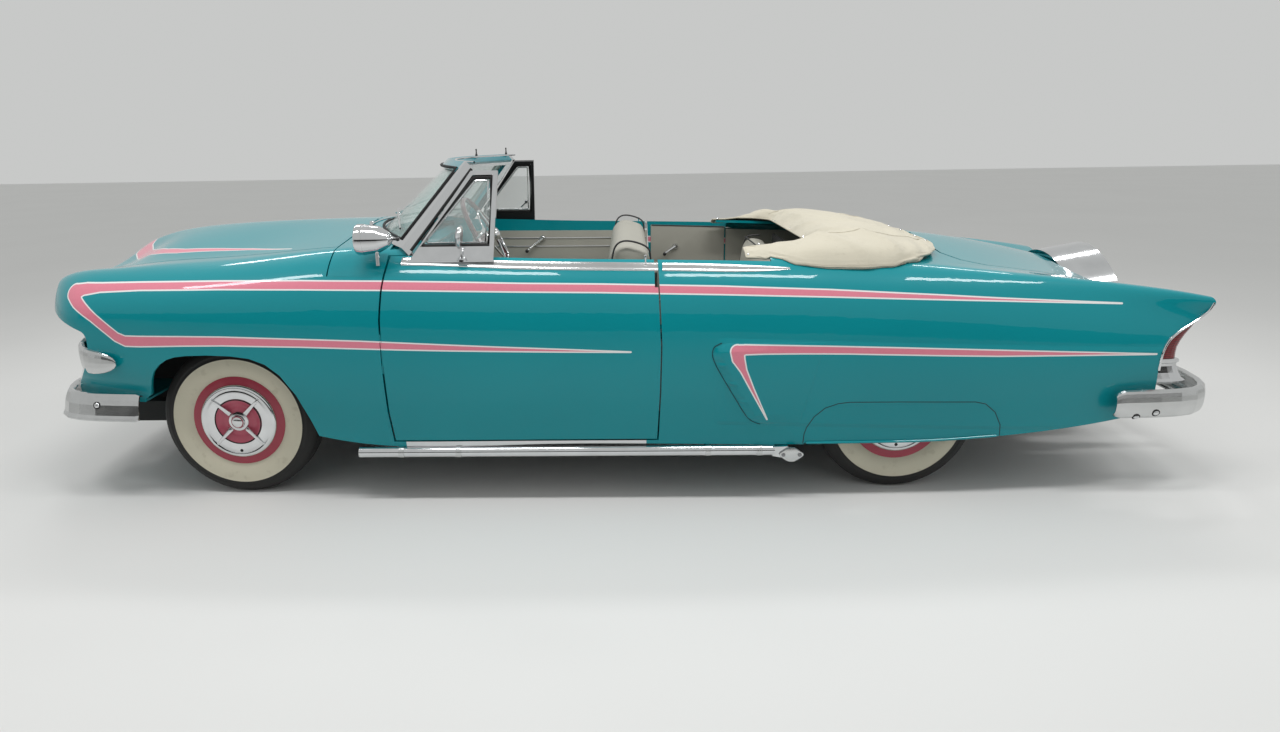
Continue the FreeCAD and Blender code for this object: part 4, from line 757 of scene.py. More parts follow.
COVER_PROFILE = (
    (0.1040, 0.0815), (0.1060, 0.0842), (0.1100, 0.0846), (0.1320, 0.0872), (0.1420, 0.0872),
    (0.1450, 0.0858), (0.1475, 0.0862), (0.1520, 0.0888), (0.1570, 0.0890), (0.1630, 0.0865),
    (0.1680, 0.0820), (0.1695, 0.0785), (0.1690, 0.0770), (0.1500, 0.0770),
    (0.1320, 0.0800), (0.1100, 0.0780),
)
DISH_PROFILE = (
    (0.0350, 0.0785), (0.0420, 0.0765), (0.0520, 0.0722), (0.0620, 0.0682), (0.0700, 0.0672),
    (0.0800, 0.0712), (0.0900, 0.0778), (0.0960, 0.0822), (0.1010, 0.0846), (0.1050, 0.0842),
    (0.1055, 0.0805), (0.0900, 0.0740), (0.0700, 0.0645), (0.0400, 0.0700),
)
HUB_PROFILE = (
    (0.0, 0.0995), (0.0090, 0.0991), (0.0170, 0.0974), (0.0240, 0.0940), (0.0290, 0.0893),
    (0.0315, 0.0850), (0.0350, 0.0846), (0.0420, 0.0830), (0.0445, 0.0800), (0.0440, 0.0760),
    (0.0, 0.0760),
)
TREAD_PROFILE = (
    (0.1915, 0.0585), (0.1985, 0.0640), (0.2060, 0.0690), (0.2150, 0.0748), (0.2290, 0.0815),
    (0.2450, 0.0852), (0.2640, 0.0866), (0.2800, 0.0864), (0.2868, 0.0857), (0.2885, 0.0868),
    (0.2915, 0.0868), (0.2930, 0.0848), (0.3050, 0.0818), (0.3080, 0.0824), (0.3110, 0.0806),
    (0.3230, 0.0738), (0.3320, 0.0664), (0.3372, 0.0600), (0.3400, 0.0560), (0.3425, 0.0500),
    (0.3432, 0.0420), (0.3360, 0.0412), (0.3360, 0.0362), (0.3440, 0.0352), (0.3447, 0.0180),
    (0.3368, 0.0172), (0.3368, 0.0122), (0.3450, 0.0112),
)


def wheel_set():
    """Chrome cover, pink dish, dark ring, hub and four bars, made once about the origin."""
    here, out = (0, 0, 0), (0, 1, 0)
    cover = spun(COVER_PROFILE, here, out, 72)
    dish = spun(DISH_PROFILE, here, out, 64)
    ring = spun([(0.1025 + 0.0027 * math.cos(turn), 0.0860 + 0.0022 * math.sin(turn))
                 for turn in (0, 0.8, 1.6, 2.4, 3.2, 4.0, 4.8, 5.6)], here, out, 56)
    hub = spun(HUB_PROFILE, here, out, 40)
    bar = plate([
        (0, 0.0840, 0.046), (0, 0.0862, 0.060), (0, 0.0880, 0.080), (0, 0.0908, 0.100),
        (0, 0.0922, 0.122), (0, 0.0912, 0.140), (0, 0.0880, 0.151), (0, 0.0830, 0.1515),
        (0, 0.0860, 0.130), (0, 0.0840, 0.100), (0, 0.0800, 0.070), (0, 0.0800, 0.046)],
        (0.029, 0, 0))
    for vertex in bar.data.vertices:
        half = 0.0098 - 0.0050 * (vertex.co.z - 0.046) / 0.105
        vertex.co.x = half * (1 if vertex.co.x > 0.01 else -1)
    modify(bar, "BEVEL", width=0.0030, segments=3, angle_limit=math.radians(40))
    bars = []
    for step in range(4):
        bars.append(placed(bar, Matrix.Rotation(math.radians(45 + 90 * step), 4, "Y")))
    bpy.data.objects.remove(bar)
    valve = spun([(0.0, 0.0898), (0.0035, 0.0896), (0.0062, 0.0890), (0.0075, 0.0870),
                  (0.0, 0.0860)], (0, 0, -0.136), out, 16)
    return (
        (cover, "wheel_cover", CHROME), (dish, "wheel_dish", PINK_DISH), (ring, "dish_ring", GASKET),
        (hub, "hub_cap", CHROME), (joined(*bars), "cover_bars", CHROME), (valve, "valve_hole", GASKET))


def tyre_form():
    """Tyre with ribbed tread, made about the origin."""
    face = list(TREAD_PROFILE)
    profile = face + [(radius, -along) for radius, along in reversed(face)]
    profile += [(0.1990, -0.0440), (0.3230, -0.0440), (0.3230, 0.0440), (0.1990, 0.0440)]
    return spun(profile, (0, 0, 0), (0, 1, 0), 112)


def road_wheels():
    """Tyres and dressed covers at the four corners."""
    tyre = tyre_form()
    dress = wheel_set()
    for end, along, out in (("front", FRONT_AXLE, FRONT_TRACK), ("rear", REAR_AXLE, REAR_TRACK)):
        move = Matrix.Translation((along, out, AXLE_Z))
        for side, sign in SIDES.items():
            corner = "%s_%s" % (end, side)
            piece = placed(tyre, move, sign < 0)
            fitted(piece, "road_tyre_" + corner, "wheel_" + corner, TYRE, 50)
            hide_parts("tyre_" + corner)
            for form, label, finish in dress:
                fitted(placed(form, move, sign < 0), "%s_%s" % (label, corner), "wheel_" + corner, finish)
    lean = Vector(SPARE_AXIS)
    turn = Vector((0, 1, 0)).rotation_difference(lean).to_matrix().to_4x4()
    move = Matrix.Translation(Vector(SPARE_PLACE) + lean * 0.008) @ turn
    for form, label, finish in dress:
        fitted(placed(form, move), label + "_spare", "car", finish)
        bpy.data.objects.remove(form)
    bpy.data.objects.remove(tyre)
    spare = spun([
        (0.203, 0.0845), (0.212, 0.0890), (0.226, 0.0960), (0.240, 0.1010), (0.262, 0.1032),
        (0.284, 0.1030), (0.288, 0.1022), (0.291, 0.1030), (0.294, 0.1012), (0.310, 0.0980),
        (0.328, 0.0890), (0.342, 0.0760), (0.350, 0.0600), (0.350, -0.0900), (0.203, -0.0900)],
        SPARE_PLACE, SPARE_AXIS, 96)
    fitted(spare, "spare_tyre_ribbed", "car", SPARE_RUBBER, 50)
    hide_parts("spare_tyre")


# Seats and cabin

def seat_block(profile, half, bevel):
    """Bench form from an (along, up) outline, across the cabin."""
    return plate([(along, -half, up) for along, up in profile], (0, 2 * half, 0), bevel, 3)


def seats():
    """Front and rear bench, each with a cushion and a back, and dark piping on the edges."""
    front = seat_block([(0.505, 0.455), (0.552, 0.475), (0.560, 0.600), (0.525, 0.618),
                        (0.10, 0.588), (-0.075, 0.560), (-0.085, 0.455)], 0.600, 0.03)
    swelled(front, 0.012)
    fitted(front, "front_cushion", "car", TRIM_HIDE, 60)
    back = seat_block([(0.104, 0.585), (0.020, 1.070), (-0.036, 1.090), (-0.136, 1.056),
                       (-0.112, 0.70), (-0.095, 0.50), (0.090, 0.50)], 0.604, 0.024)
    swelled(back, 0.012)
    fitted(back, "front_backrest", "car", TRIM_HIDE, 60)
    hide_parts("front_seat")
    plinth = plate([(0.50, -0.585, 0.332), (0.53, -0.585, 0.470), (-0.09, -0.585, 0.470),
                    (-0.09, -0.585, 0.332)], (0, 1.17, 0), 0.008)
    fitted(plinth, "front_seat_plinth", "car", DARK_HIDE)
    rear = seat_block([(-0.345, 0.430), (-0.315, 0.450), (-0.308, 0.560), (-0.345, 0.598),
                       (-0.62, 0.575), (-0.62, 0.430)], 0.532, 0.028)
    swelled(rear, 0.011)
    fitted(rear, "rear_cushion", "car", TRIM_HIDE, 60)
    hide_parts("rear_seat")
    rest = seat_block([(-0.655, 0.590), (-0.712, 0.955), (-0.745, 0.978), (-0.824, 0.962),
                       (-0.824, 0.50), (-0.655, 0.50)], 0.534, 0.022)
    swelled(rest, 0.011)
    fitted(rest, "rear_backrest", "car", TRIM_HIDE, 60)
    base = plate([(-0.330, -0.52, 0.332), (-0.330, -0.52, 0.45), (-0.82, -0.52, 0.45),
                  (-0.82, -0.52, 0.332)], (0, 1.04, 0), 0.006)
    fitted(base, "rear_seat_plinth", "car", DARK_HIDE)
    route = [(0.092, 0.612), (0.052, 0.84), (0.026, 1.045), (0.006, 1.090), (-0.040, 1.103),
             (-0.120, 1.080), (-0.147, 1.045), (-0.134, 0.85), (-0.116, 0.62)]
    cords = [tube([(along, side * 0.607, up) for along, up in route], 0.0042) for side in (-1, 1)]
    fitted(joined(*cords), "front_seat_piping", "car", DARK_PIPING)
    route = [(-0.655, 0.62), (-0.690, 0.80), (-0.716, 0.955), (-0.742, 0.984), (-0.80, 0.980)]
    cords = [tube([(along, side * 0.537, up) for along, up in route], 0.0040) for side in (-1, 1)]
    cords.append(tube([(-0.722, -0.536, 0.972), (-0.722, -0.3, 0.976), (-0.722, 0.3, 0.976),
                       (-0.722, 0.536, 0.972)], 0.0040))
    fitted(joined(*cords), "rear_seat_piping", "car", DARK_PIPING)
    slot = plate([(-0.034, 0.612, 0.985), (-0.062, 0.612, 0.985), (-0.075, 0.612, 0.975),
                  (-0.052, 0.612, 0.840), (-0.040, 0.612, 0.832), (-0.026, 0.612, 0.840)],
                 (0, 0.007, 0), 0.002)
    fitted(slot, "backrest_latch", "car", CHROME)


def door_trim():
    """Door and side cards with mouldings, piping, arm rests, winders and lock pins."""
    card = plate([(0.930, CARD_FACE, 0.40), (0.930, CARD_FACE, 1.000), (-0.165, CARD_FACE, 0.990),
                  (-0.165, CARD_FACE, 0.40)], (0, -0.009, 0), 0.003)
    strips = []
    for up in (0.955, 0.905, 0.560):
        strips.append(tube([(0.925, 0.789, up), (0.40, 0.789, up - 0.004), (-0.160, 0.789, up - 0.008)],
                           0.0045, "POLY"))
    fitted_pair(card, "door_card", "door_SIDE", TRIM_HIDE)
    fitted_pair(joined(*strips), "door_card_moulding", "door_SIDE", CHROME)
    pull = plate([(0.33, 0.790, 0.700), (0.10, 0.790, 0.690), (0.06, 0.790, 0.665),
                  (0.36, 0.790, 0.672)], (0, -0.030, 0), 0.008, 3)
    fitted_pair(pull, "arm_rest", "door_SIDE", TRIM_HIDE)
    winder(0.469, 0.950, 0.563, 0.878, 0.790, "door_winder", "door_SIDE")
    winder(0.30, 0.80, 0.25, 0.745, 0.790, "door_opener", "door_SIDE")
    pin = spun([(0, 0.038), (0.004, 0.037), (0.006, 0.032), (0.0045, 0.022), (0.003, 0.0),
                (0.0, 0.0)], (-0.115, 0.826, 1.030), (0, 0, 1), 16)
    fitted_pair(pin, "lock_pin", "door_SIDE", CHROME)
    side = plate([(-0.188, CARD_FACE, 0.40), (-0.188, CARD_FACE, 1.022), (-0.632, CARD_FACE, 1.006),
                  (-0.632, CARD_FACE, 0.40)], (0, -0.009, 0), 0.003)
    fitted_pair(side, "rear_side_card", "car", TRIM_HIDE)
    corner = plate([(-0.6405, 0.8080, 0.745), (-0.6405, 0.8080, 0.992), (-1.00, 0.8080, 0.978),
                    (-1.30, 0.8000, 0.975), (-1.30, 0.8000, 0.745)], (0, -0.008, 0), 0.003)
    fitted_pair(corner, "rear_corner_card", "car", TRIM_HIDE)
    cords = [tube([(-0.192, 0.791, 1.020), (-0.42, 0.791, 1.012), (-0.628, 0.791, 1.004)], 0.004),
             tube([(-0.205, 0.789, 0.600), (-0.42, 0.789, 0.598), (-0.625, 0.789, 0.596)], 0.004)]
    fitted_pair(joined(*cords), "side_card_piping", "car", DARK_PIPING)
    winder(-0.336, 0.891, -0.270, 0.850, 0.790, "side_winder", "car")


def winder(hub_x, hub_z, end_x, end_z, face, name, body):
    """Window winder: boss, cranked arm and knob on a left inner face."""
    boss = spun([(0, 0.016), (0.012, 0.015), (0.016, 0.010), (0.019, 0.0), (0, 0)],
                (hub_x, face, hub_z), (0, -1, 0), 24)
    arm = tube([(hub_x, face - 0.012, hub_z), ((hub_x + end_x) / 2, face - 0.022, (hub_z + end_z) / 2),
                (end_x, face - 0.026, end_z)], 0.0055, taper=[1.5, 1.0, 1.1])
    knob = spun([(0, 0.030), (0.007, 0.029), (0.011, 0.024), (0.010, 0.012), (0.006, 0.0), (0, 0)],
                (end_x, face - 0.022, end_z), (0, -1, 0), 20)
    fitted_pair(joined(boss, arm), name, body, CHROME)
    fitted_pair(knob, name + "_knob", body, BLACK)


def dash_and_controls():
    """Gauge, knobs and glove lid on the dash, horn ring, pedals, lever and inside mirror."""
    face = (0.988, 0.380, 0.968)
    gauge = spun([(0, 0.004), (0.062, 0.004), (0.066, 0.012), (0.074, 0.013), (0.078, 0.006),
                  (0.078, -0.01), (0, -0.01)], face, (-0.985, 0, 0.17), 48)
    fitted(gauge, "speed_gauge_ring", "car", CHROME)
    dial = spun([(0, 0.0065), (0.060, 0.0065), (0.060, 0.002), (0, 0.002)], face, (-0.985, 0, 0.17), 40)
    fitted(dial, "speed_gauge_dial", "car", BLACK)
    knobs = []
    for across in (0.20, 0.12, 0.04, -0.10, -0.18, -0.26):
        knobs.append(spun([(0, 0.026), (0.008, 0.025), (0.011, 0.019), (0.009, 0.008), (0.006, 0), (0, 0)],
                          (0.989, across, 0.940), (-0.985, 0, 0.17), 16))
    fitted(joined(*knobs), "dash_knobs", "car", CHROME)
    rail = tube([(0.984, -0.74, 1.004), (0.980, 0, 1.006), (0.984, 0.74, 1.004)], 0.006)
    fitted(rail, "dash_rail", "car", CHROME)
    glove = plate([(0.992, -0.30, 0.985), (0.992, -0.62, 0.985), (0.995, -0.62, 0.915),
                   (0.995, -0.30, 0.915)], (-0.006, 0, 0), 0.002)
    fitted(glove, "glove_lid", "car", PLAIN_PAINT)
    centre = Vector(STEER_PLACE)
    axis = Vector(STEER_AXIS)
    ring = tube(ring_points(centre + axis * 0.030, axis, 0.128, 28), 0.0042, closed=True)
    side = axis.cross(Vector((0, 1, 0))).normalized()
    arms = []
    for spread in (-0.4, 0.4, math.pi):
        way = side * math.cos(spread) + Vector((0, 1, 0)) * math.sin(spread)
        arms.append(tube([centre + axis * 0.040 + way * 0.02, centre + axis * 0.038 + way * 0.07,
                          centre + axis * 0.030 + way * 0.128], 0.0040))
    cap = spun([(0, 0.062), (0.012, 0.061), (0.024, 0.056), (0.032, 0.047), (0.037, 0.036),
                (0.037, 0.030), (0, 0.030)], centre, axis, 36)
    fitted(joined(ring, cap, *arms), "horn_ring", "steering_wheel", CHROME)
    pads = []
    for across in (0.30, 0.42, 0.52):
        pads.append(plate([(1.085, across - 0.03, 0.44), (1.085, across + 0.03, 0.44),
                           (1.120, across + 0.03, 0.52), (1.120, across - 0.03, 0.52)],
                          (0.012, 0, -0.005), 0.004))
        pads.append(tube([(1.110, across, 0.48), (1.150, across, 0.56), (1.180, across, 0.62)], 0.006))
    fitted(joined(*pads), "pedals", "car", BLACK)
    lever = tube([(0.72, 0.36, 1.03), (0.68, 0.30, 1.05), (0.65, 0.20, 1.07)], 0.004)
    knob = spun([(0, 0.014), (0.008, 0.012), (0.010, 0.0), (0.008, -0.010), (0, -0.012)],
                (0.650, 0.196, 1.0705), (0, 1, 0), 18)
    fitted(joined(lever, knob), "column_lever", "car", CHROME)
    stalk = tube([(0.862, 0, 1.418), (0.850, 0, 1.396), (0.842, 0, 1.372)], 0.005)
    shell = spun([(0, 0.012), (0.028, 0.010), (0.034, 0.004), (0.034, 0.0), (0, 0.0)],
                 (0, 0, 0), (1, 0, 0), 40)
    for vertex in shell.data.vertices:
        vertex.co = Vector((vertex.co.x * 1.2 + 0.836, vertex.co.y * 3.2, vertex.co.z + 1.352))
    fitted(joined(stalk, shell), "inside_mirror", "car", CHROME)
    glass = spun([(0, 0.002), (0.030, 0.002), (0.030, 0.0), (0, 0.0)], (0, 0, 0), (-1, 0, 0), 40)
    for vertex in glass.data.vertices:
        vertex.co = Vector((vertex.co.x + 0.8355, vertex.co.y * 3.2, vertex.co.z + 1.352))
    fitted(glass, "inside_mirror_glass", "car", MIRROR_GLASS)


# Soft cover over the folded top

BOOT_ROWS = (
    (-0.575, 0.735, 1.036, 1.078, 1.3), (-0.680, 0.782, 1.030, 1.096, 1.4),
    (-0.740, 0.816, 1.016, 1.106, 1.6), (-0.880, 0.828, 1.002, 1.124, 1.9),
    (-1.010, 0.824, 0.999, 1.134, 1.9), (-1.130, 0.808, 1.001, 1.128, 1.8),
    (-1.250, 0.752, 1.010, 1.104, 1.7), (-1.330, 0.670, 1.030, 1.084, 1.6),
    (-1.390, 0.575, 1.036, 1.070, 1.5), (-1.430, 0.450, 1.040, 1.056, 1.5),
)


def boot_point(across, along):
    """Point of the boot before it is let down, from two shares of its cloth."""
    turn = (across - 0.5) * 2
    inward = min(1.0, max(0.0, (0.70 - abs(turn)) / 0.22))
    inward = inward * inward * (3 - 2 * inward)
    front = BOOT_FRONT - BOOT_DEPTH * inward
    x_value = front + (BOOT_REAR - front) * along
    half, base, top, fullness = between(BOOT_ROWS, x_value)
    lift = (1 - abs(turn) ** (2.4 * fullness)) ** 0.9
    edge_dip = (1 - min(1.0, along * 5)) ** 2 * inward
    y_value = half * math.sin(turn * math.pi / 2 * 0.94) / math.sin(math.pi / 2 * 0.94)
    z_value = base + (top - base) * lift * (1 - 0.45 * edge_dip)
    fold = noise.noise(Vector((x_value * 7.0, y_value * 2.2, 3.1)))
    crease = noise.noise(Vector((x_value * 3.0 + 9.0, y_value * 9.0, 1.7)))
    ridge = 1 - abs(noise.noise(Vector((x_value * 4.2 + y_value * 3.0, y_value * 1.4 - x_value, 5.5)))) * 2
    inner = min(1.0, (1 - abs(turn)) * 6) * min(1.0, along * 8, (1 - along) * 10)
    z_value += inner * (0.014 * fold + 0.008 * crease + 0.012 * max(0.0, ridge) ** 3)
    return Vector((x_value, y_value, z_value))


def boot():
    """Canvas boot: shaped sheet let down over the folded top, then hemmed."""
    cloth_piece = cloth_grid(110, 90, boot_point)
    settle(cloth_piece)
    keep_off_body(cloth_piece)
    edge = rim_points(cloth_piece)
    modify(cloth_piece, "SOLIDIFY", thickness=CANVAS_THICKNESS, offset=1.0)
    fitted(cloth_piece, "boot_cover", "car", BOOT_CANVAS, 180)
    hem = tube(edge, 0.0042, "POLY", closed=True)
    fitted(hem, "boot_hem", "car", BOOT_CANVAS, 180)
    seams = []
    for across in (0.24, 0.76):
        seams.append(tube([surface_point(cloth_piece, across, share / 24) for share in range(1, 24)],
                          0.0022, "POLY"))
    fitted(joined(*seams), "boot_seams", "car", BOOT_CANVAS, 180)
    studs = []
    for index in range(0, len(edge), 9):
        place = edge[index]
        out = Vector((place.x + 1.0, place.y, 0)).normalized()
        up = (out * 0.5 + Vector((0, 0, 1))).normalized()
        studs.append(spun([(0, 0.0045), (0.0045, 0.0040), (0.0065, 0.0020), (0.0070, -0.002), (0, -0.002)],
                          place - out * 0.016 + up * 0.006, up, 14))
    fitted(joined(*studs), "boot_snaps", "car", CHROME)
    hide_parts("top_boot")


def settle(cloth_piece):
    """Let the sheet sag with its edge held, so that slack turns into folds."""
    group = cloth_piece.vertex_groups.new(name="held")
    rim = set(rim_indices(cloth_piece))
    group.add(list(rim), 1.0, "REPLACE")
    support = copied(cloth_piece)
    for vertex in support.data.vertices:
        vertex.co.z -= 0.016
    only(support)
    bump = support.modifiers.new("bed", "COLLISION")
    support.collision.thickness_outer = 0.004
    only(cloth_piece)
    cloth = cloth_piece.modifiers.new("drape", "CLOTH")
    cloth.settings.quality = 6
    cloth.settings.mass = 0.4
    cloth.settings.tension_stiffness = 30
    cloth.settings.compression_stiffness = 30
    cloth.settings.bending_stiffness = 0.8
    cloth.settings.shrink_min = -0.025
    cloth.settings.vertex_group_mass = "held"
    cloth.collision_settings.distance_min = 0.004
    for number in range(1, DRAPE_FRAMES + 1):
        bpy.context.scene.frame_set(number)
    only(cloth_piece)
    bpy.ops.object.modifier_apply(modifier=cloth.name)
    bpy.context.scene.frame_set(1)
    support.modifiers.remove(bump)
    bpy.data.objects.remove(support)
    modify(cloth_piece, "SMOOTH", factor=0.4, iterations=2)


def rim_indices(obj):
    """Indices of the grid's edge points in order round the sheet."""
    links = {}
    use = {}
    for face in obj.data.polygons:
        for key in face.edge_keys:
            use[key] = use.get(key, 0) + 1
    for (first, second), count in use.items():
        if count == 1:
            links.setdefault(first, []).append(second)
            links.setdefault(second, []).append(first)
    start = min(links)
    order = [start]
    before, here = None, start
    while True:
        ahead = [item for item in links[here] if item != before][0]
        if ahead == start:
            return order
        order.append(ahead)
        before, here = here, ahead


def rim_points(obj):
    """Every second edge point of the sheet, in order."""
    return [obj.data.vertices[index].co.copy() for index in rim_indices(obj)][::2]


def surface_point(obj, across, along):
    """Point on top of the cover at two shares of its reach."""
    place = boot_point(across, along)
    hit, found = obj.ray_cast(Vector((place.x, place.y, OVERHEAD)), DOWN)[:2]
    return (found if hit else place) + Vector((0, 0, 0.0008))


def keep_off_body(obj):
    """Lift every point that has sunk into the panels below."""
    for vertex in obj.data.vertices:
        for name in ("quarter_left", "quarter_right", "deck_panel"):
            start = Vector((vertex.co.x, vertex.co.y, OVERHEAD))
            hit, found = NODES[name].ray_cast(start, DOWN)[:2]
            if hit and vertex.co.z < found.z + CLOTH_GAP and found.z > 0.8:
                vertex.co.z = found.z + CLOTH_GAP


# Outside trim

def belt_mouldings():
    """Rolled moulding along the cabin edge of the doors and quarters."""
    section = section_curve([(0, 0), (0.014, -0.004), (0.036, -0.016), (0.041, -0.022), (0.038, -0.030),
                             (0.020, -0.034), (-0.004, -0.034)])
    door = [(0.905, 0.8065, 1.0682), (0.72, 0.8065, 1.0600), (0.41, 0.8165, 1.0465),
            (0.2425, 0.8163, 1.0422), (0.075, 0.8164, 1.0381), (-0.166, 0.8165, 1.0328)]
    quarter = [(-0.1845, 0.8165, 1.0325), (-0.3417, 0.8170, 1.0287), (-0.5073, 0.8217, 1.0211),
               (-0.6721, 0.8268, 1.0115), (-0.7129, 0.8303, 1.0073)]
    tapers = ([1, 1, 1, 1, 1, 1], [1, 1, 0.9, 0.5, 0.25])
    for route, taper, name, body in (
            (door, tapers[0], "door_belt", "door_SIDE"), (quarter, tapers[1], "quarter_belt", "car")):
        strip = tube(route, 0, taper=taper, section=section)
        fitted_pair(strip, name, body, WORN_CHROME, 40)
    bpy.data.objects.remove(section)


SCOOP_MOUTH = (
    (0.716, -0.4258), (0.706, -0.404), (0.6951, -0.3900), (0.6611, -0.3857), (0.618, -0.4031),
    (0.5700, -0.4300), (0.5114, -0.4643), (0.4500, -0.5010), (0.3956, -0.5323), (0.3622, -0.5637),
    (0.3523, -0.5982),
)


SCOOP_END = -0.772


def scoop():
    """Raised false scoop on each quarter, ridged at its mouth, with a dark line along it."""
    def skin(across, along):
        up = 0.3523 + (0.716 - 0.3523) * along
        mouth = between(SCOOP_MOUTH, up)[0]
        x_value = mouth + (SCOOP_END - 0.10 * along - mouth) * across
        run = across * (mouth - SCOOP_END + 0.10 * along)
        ramp = min(1.0, run / 0.046)
        ramp = ramp * ramp * (3 - 2 * ramp)
        ridge = max(0.0, math.sin((along * 4.5 - 0.10) * 2 * math.pi)) ** 6
        ridge *= max(0.0, 1 - abs(run - 0.022) / 0.024) * (1.0 if along < 0.80 else 0.0)
        fade = (1 - across) ** 1.3 * min(1.0, along * 8, (1 - along) * 10)
        rise = (0.0150 * ramp + 0.0065 * ridge) * fade + 0.0004
        if across < 0.01 or across > 0.97 or along < 0.01 or along > 0.99:
            rise = -0.002
        return on_skin("quarter_left", x_value, up, rise)

    panel = cloth_grid(72, 90, skin)
    modify(panel, "SOLIDIFY", thickness=0.0022, offset=-1.0)
    edit(panel, tidy_mesh)
    fitted_pair(panel, "scoop", "car", QUARTER_PAINT, 40)

    route = [on_skin("quarter_left", place, up, 0.0006) for up, place in SCOOP_MOUTH]
    fitted_pair(tube(route, 0.0019), "scoop_line", "car", SHADOW_PAINT)


def skirt_lips():
    """Rolled lip along the foot of each skirt, and bright edges of the fins."""
    route = [lowest_skin("fender_skirts", along, 0.250) + Vector((0, 0.0035, 0.003)) for along in
             (-0.80, -0.90, -1.00, -1.12, -1.22, -1.34, -1.46, -1.58, -1.615)]
    fitted_pair(tube(route, 0.0055), "skirt_lip", "car", PLAIN_PAINT)
    fin = [(-2.4655, 0.8300, 0.8400), (-2.4560, 0.8322, 0.8120), (-2.4260, 0.8360, 0.7840),
           (-2.3840, 0.8430, 0.7570), (-2.3340, 0.8520, 0.7280), (-2.2880, 0.8640, 0.6930),
           (-2.2680, 0.8690, 0.6520), (-2.2620, 0.8700, 0.6080), (-2.2640, 0.8660, 0.5600)]
    fitted_pair(tube(fin, 0.0052), "fin_edge", "car", CHROME)


def pipe_fittings():
    """Clamps of the side pipes, and the plates over their ends with two screws each."""
    clamps = []
    for along in (0.95, 0.70, -0.38, -0.60):
        clamps.append(spun([(0.0245, -0.012), (0.0262, -0.012), (0.0268, 0), (0.0262, 0.012),
                            (0.0245, 0.012)],
                           (along, PIPE_OUT, PIPE_UP), (1, 0, 0), 36))
    fitted_pair(joined(*clamps), "pipe_clamps", "car", WORN_CHROME)
    flange = plate([
        (-0.682, 0.926, 0.217), (-0.688, 0.926, 0.226), (-0.712, 0.926, 0.243), (-0.724, 0.926, 0.249),
        (-0.746, 0.926, 0.249), (-0.758, 0.926, 0.243), (-0.782, 0.926, 0.226), (-0.788, 0.926, 0.217),
        (-0.782, 0.926, 0.208), (-0.758, 0.926, 0.191), (-0.746, 0.926, 0.185), (-0.724, 0.926, 0.185),
        (-0.712, 0.926, 0.191), (-0.688, 0.926, 0.208)], (0, 0.007, 0), 0.0018)
    fitted_pair(flange, "pipe_flange", "car", WORN_CHROME)
    screws = []
    for along in (-0.700, -0.770):
        screws.append(spun([(0, 0.0050), (0.005, 0.0046), (0.0085, 0.0030), (0.0090, 0.0), (0, 0)],
                           (along, 0.9325, 0.217), (0, 1, 0), 14))
    fitted_pair(joined(*screws), "pipe_screws", "car", STEEL)


def bumper_bolts():
    """Domed bolts with dark washers on the bumper ends."""
    places = (
        ((2.2698, 0.9041, 0.4533), (0.10, 0.98, 0.20)), ((-2.1688, 0.9171, 0.3718), (-0.03, 0.74, -0.67)),
        ((-2.2457, 0.9212, 0.3903), (-0.05, 0.94, -0.33)))
    bolts = [spun([(0, 0.0068), (0.006, 0.0060), (0.0105, 0.0036), (0.0125, 0.0), (0.0125, -0.003),
                   (0, -0.003)], place, way, 20) for place, way in places]
    fitted_pair(joined(*bolts), "bumper_bolts", "car", CHROME)
    washers = [spun([(0.0122, -0.001), (0.0160, -0.001), (0.0160, 0.0012), (0.0122, 0.0016)],
                    place, way, 24) for place, way in places]
    fitted_pair(joined(*washers), "bolt_washers", "car", GASKET)


def lamp_rings():
    """Bright rings round the headlamps and the spotlight, and its glass and knob."""
    ring = spun([(0.0880, 0.018), (0.0900, 0.026), (0.0950, 0.029), (0.0992, 0.024), (0.1000, 0.008),
                 (0.0880, 0.008)], HEADLAMP, (1, 0, 0), 64)
    fitted_pair(ring, "headlamp_ring", "car", CHROME)
    spot = spun([(0.0520, 0.066), (0.0540, 0.072), (0.0600, 0.073), (0.0640, 0.066), (0.0640, 0.040),
                 (0.0520, 0.040)], SPOTLIGHT, (1, 0, 0), 48)
    fitted(spot, "spotlight_ring", "car", CHROME)
    glass = spun([(0, 0.074), (0.025, 0.0725), (0.045, 0.069), (0.053, 0.066), (0.053, 0.060), (0, 0.060)],
                 SPOTLIGHT, (1, 0, 0), 40)
    fitted(glass, "spotlight_glass", "car", SPOT_GLASS)
    knob = spun([(0, 0.020), (0.007, 0.019), (0.009, 0.012), (0.005, 0.004), (0.004, -0.02), (0, -0.02)],
                (0.918, 0.866, 1.150), (-1, 0, 0), 18)
    fitted(knob, "spotlight_knob", "car", BLACK)


def screen_point(height, across, back=0.0):
    """Point on the windshield's surface; across is from -1 to 1."""
    reach = (0.8 - 0.11 * height) * across
    return Vector((
        1.196 - 0.364 * height - (0.28 - 0.084 * height) * across ** 2 - 0.66 * back,
        reach, 1.12 + 0.332 * height - 0.022 * (1 - height) * across ** 2 - 0.75 * back))


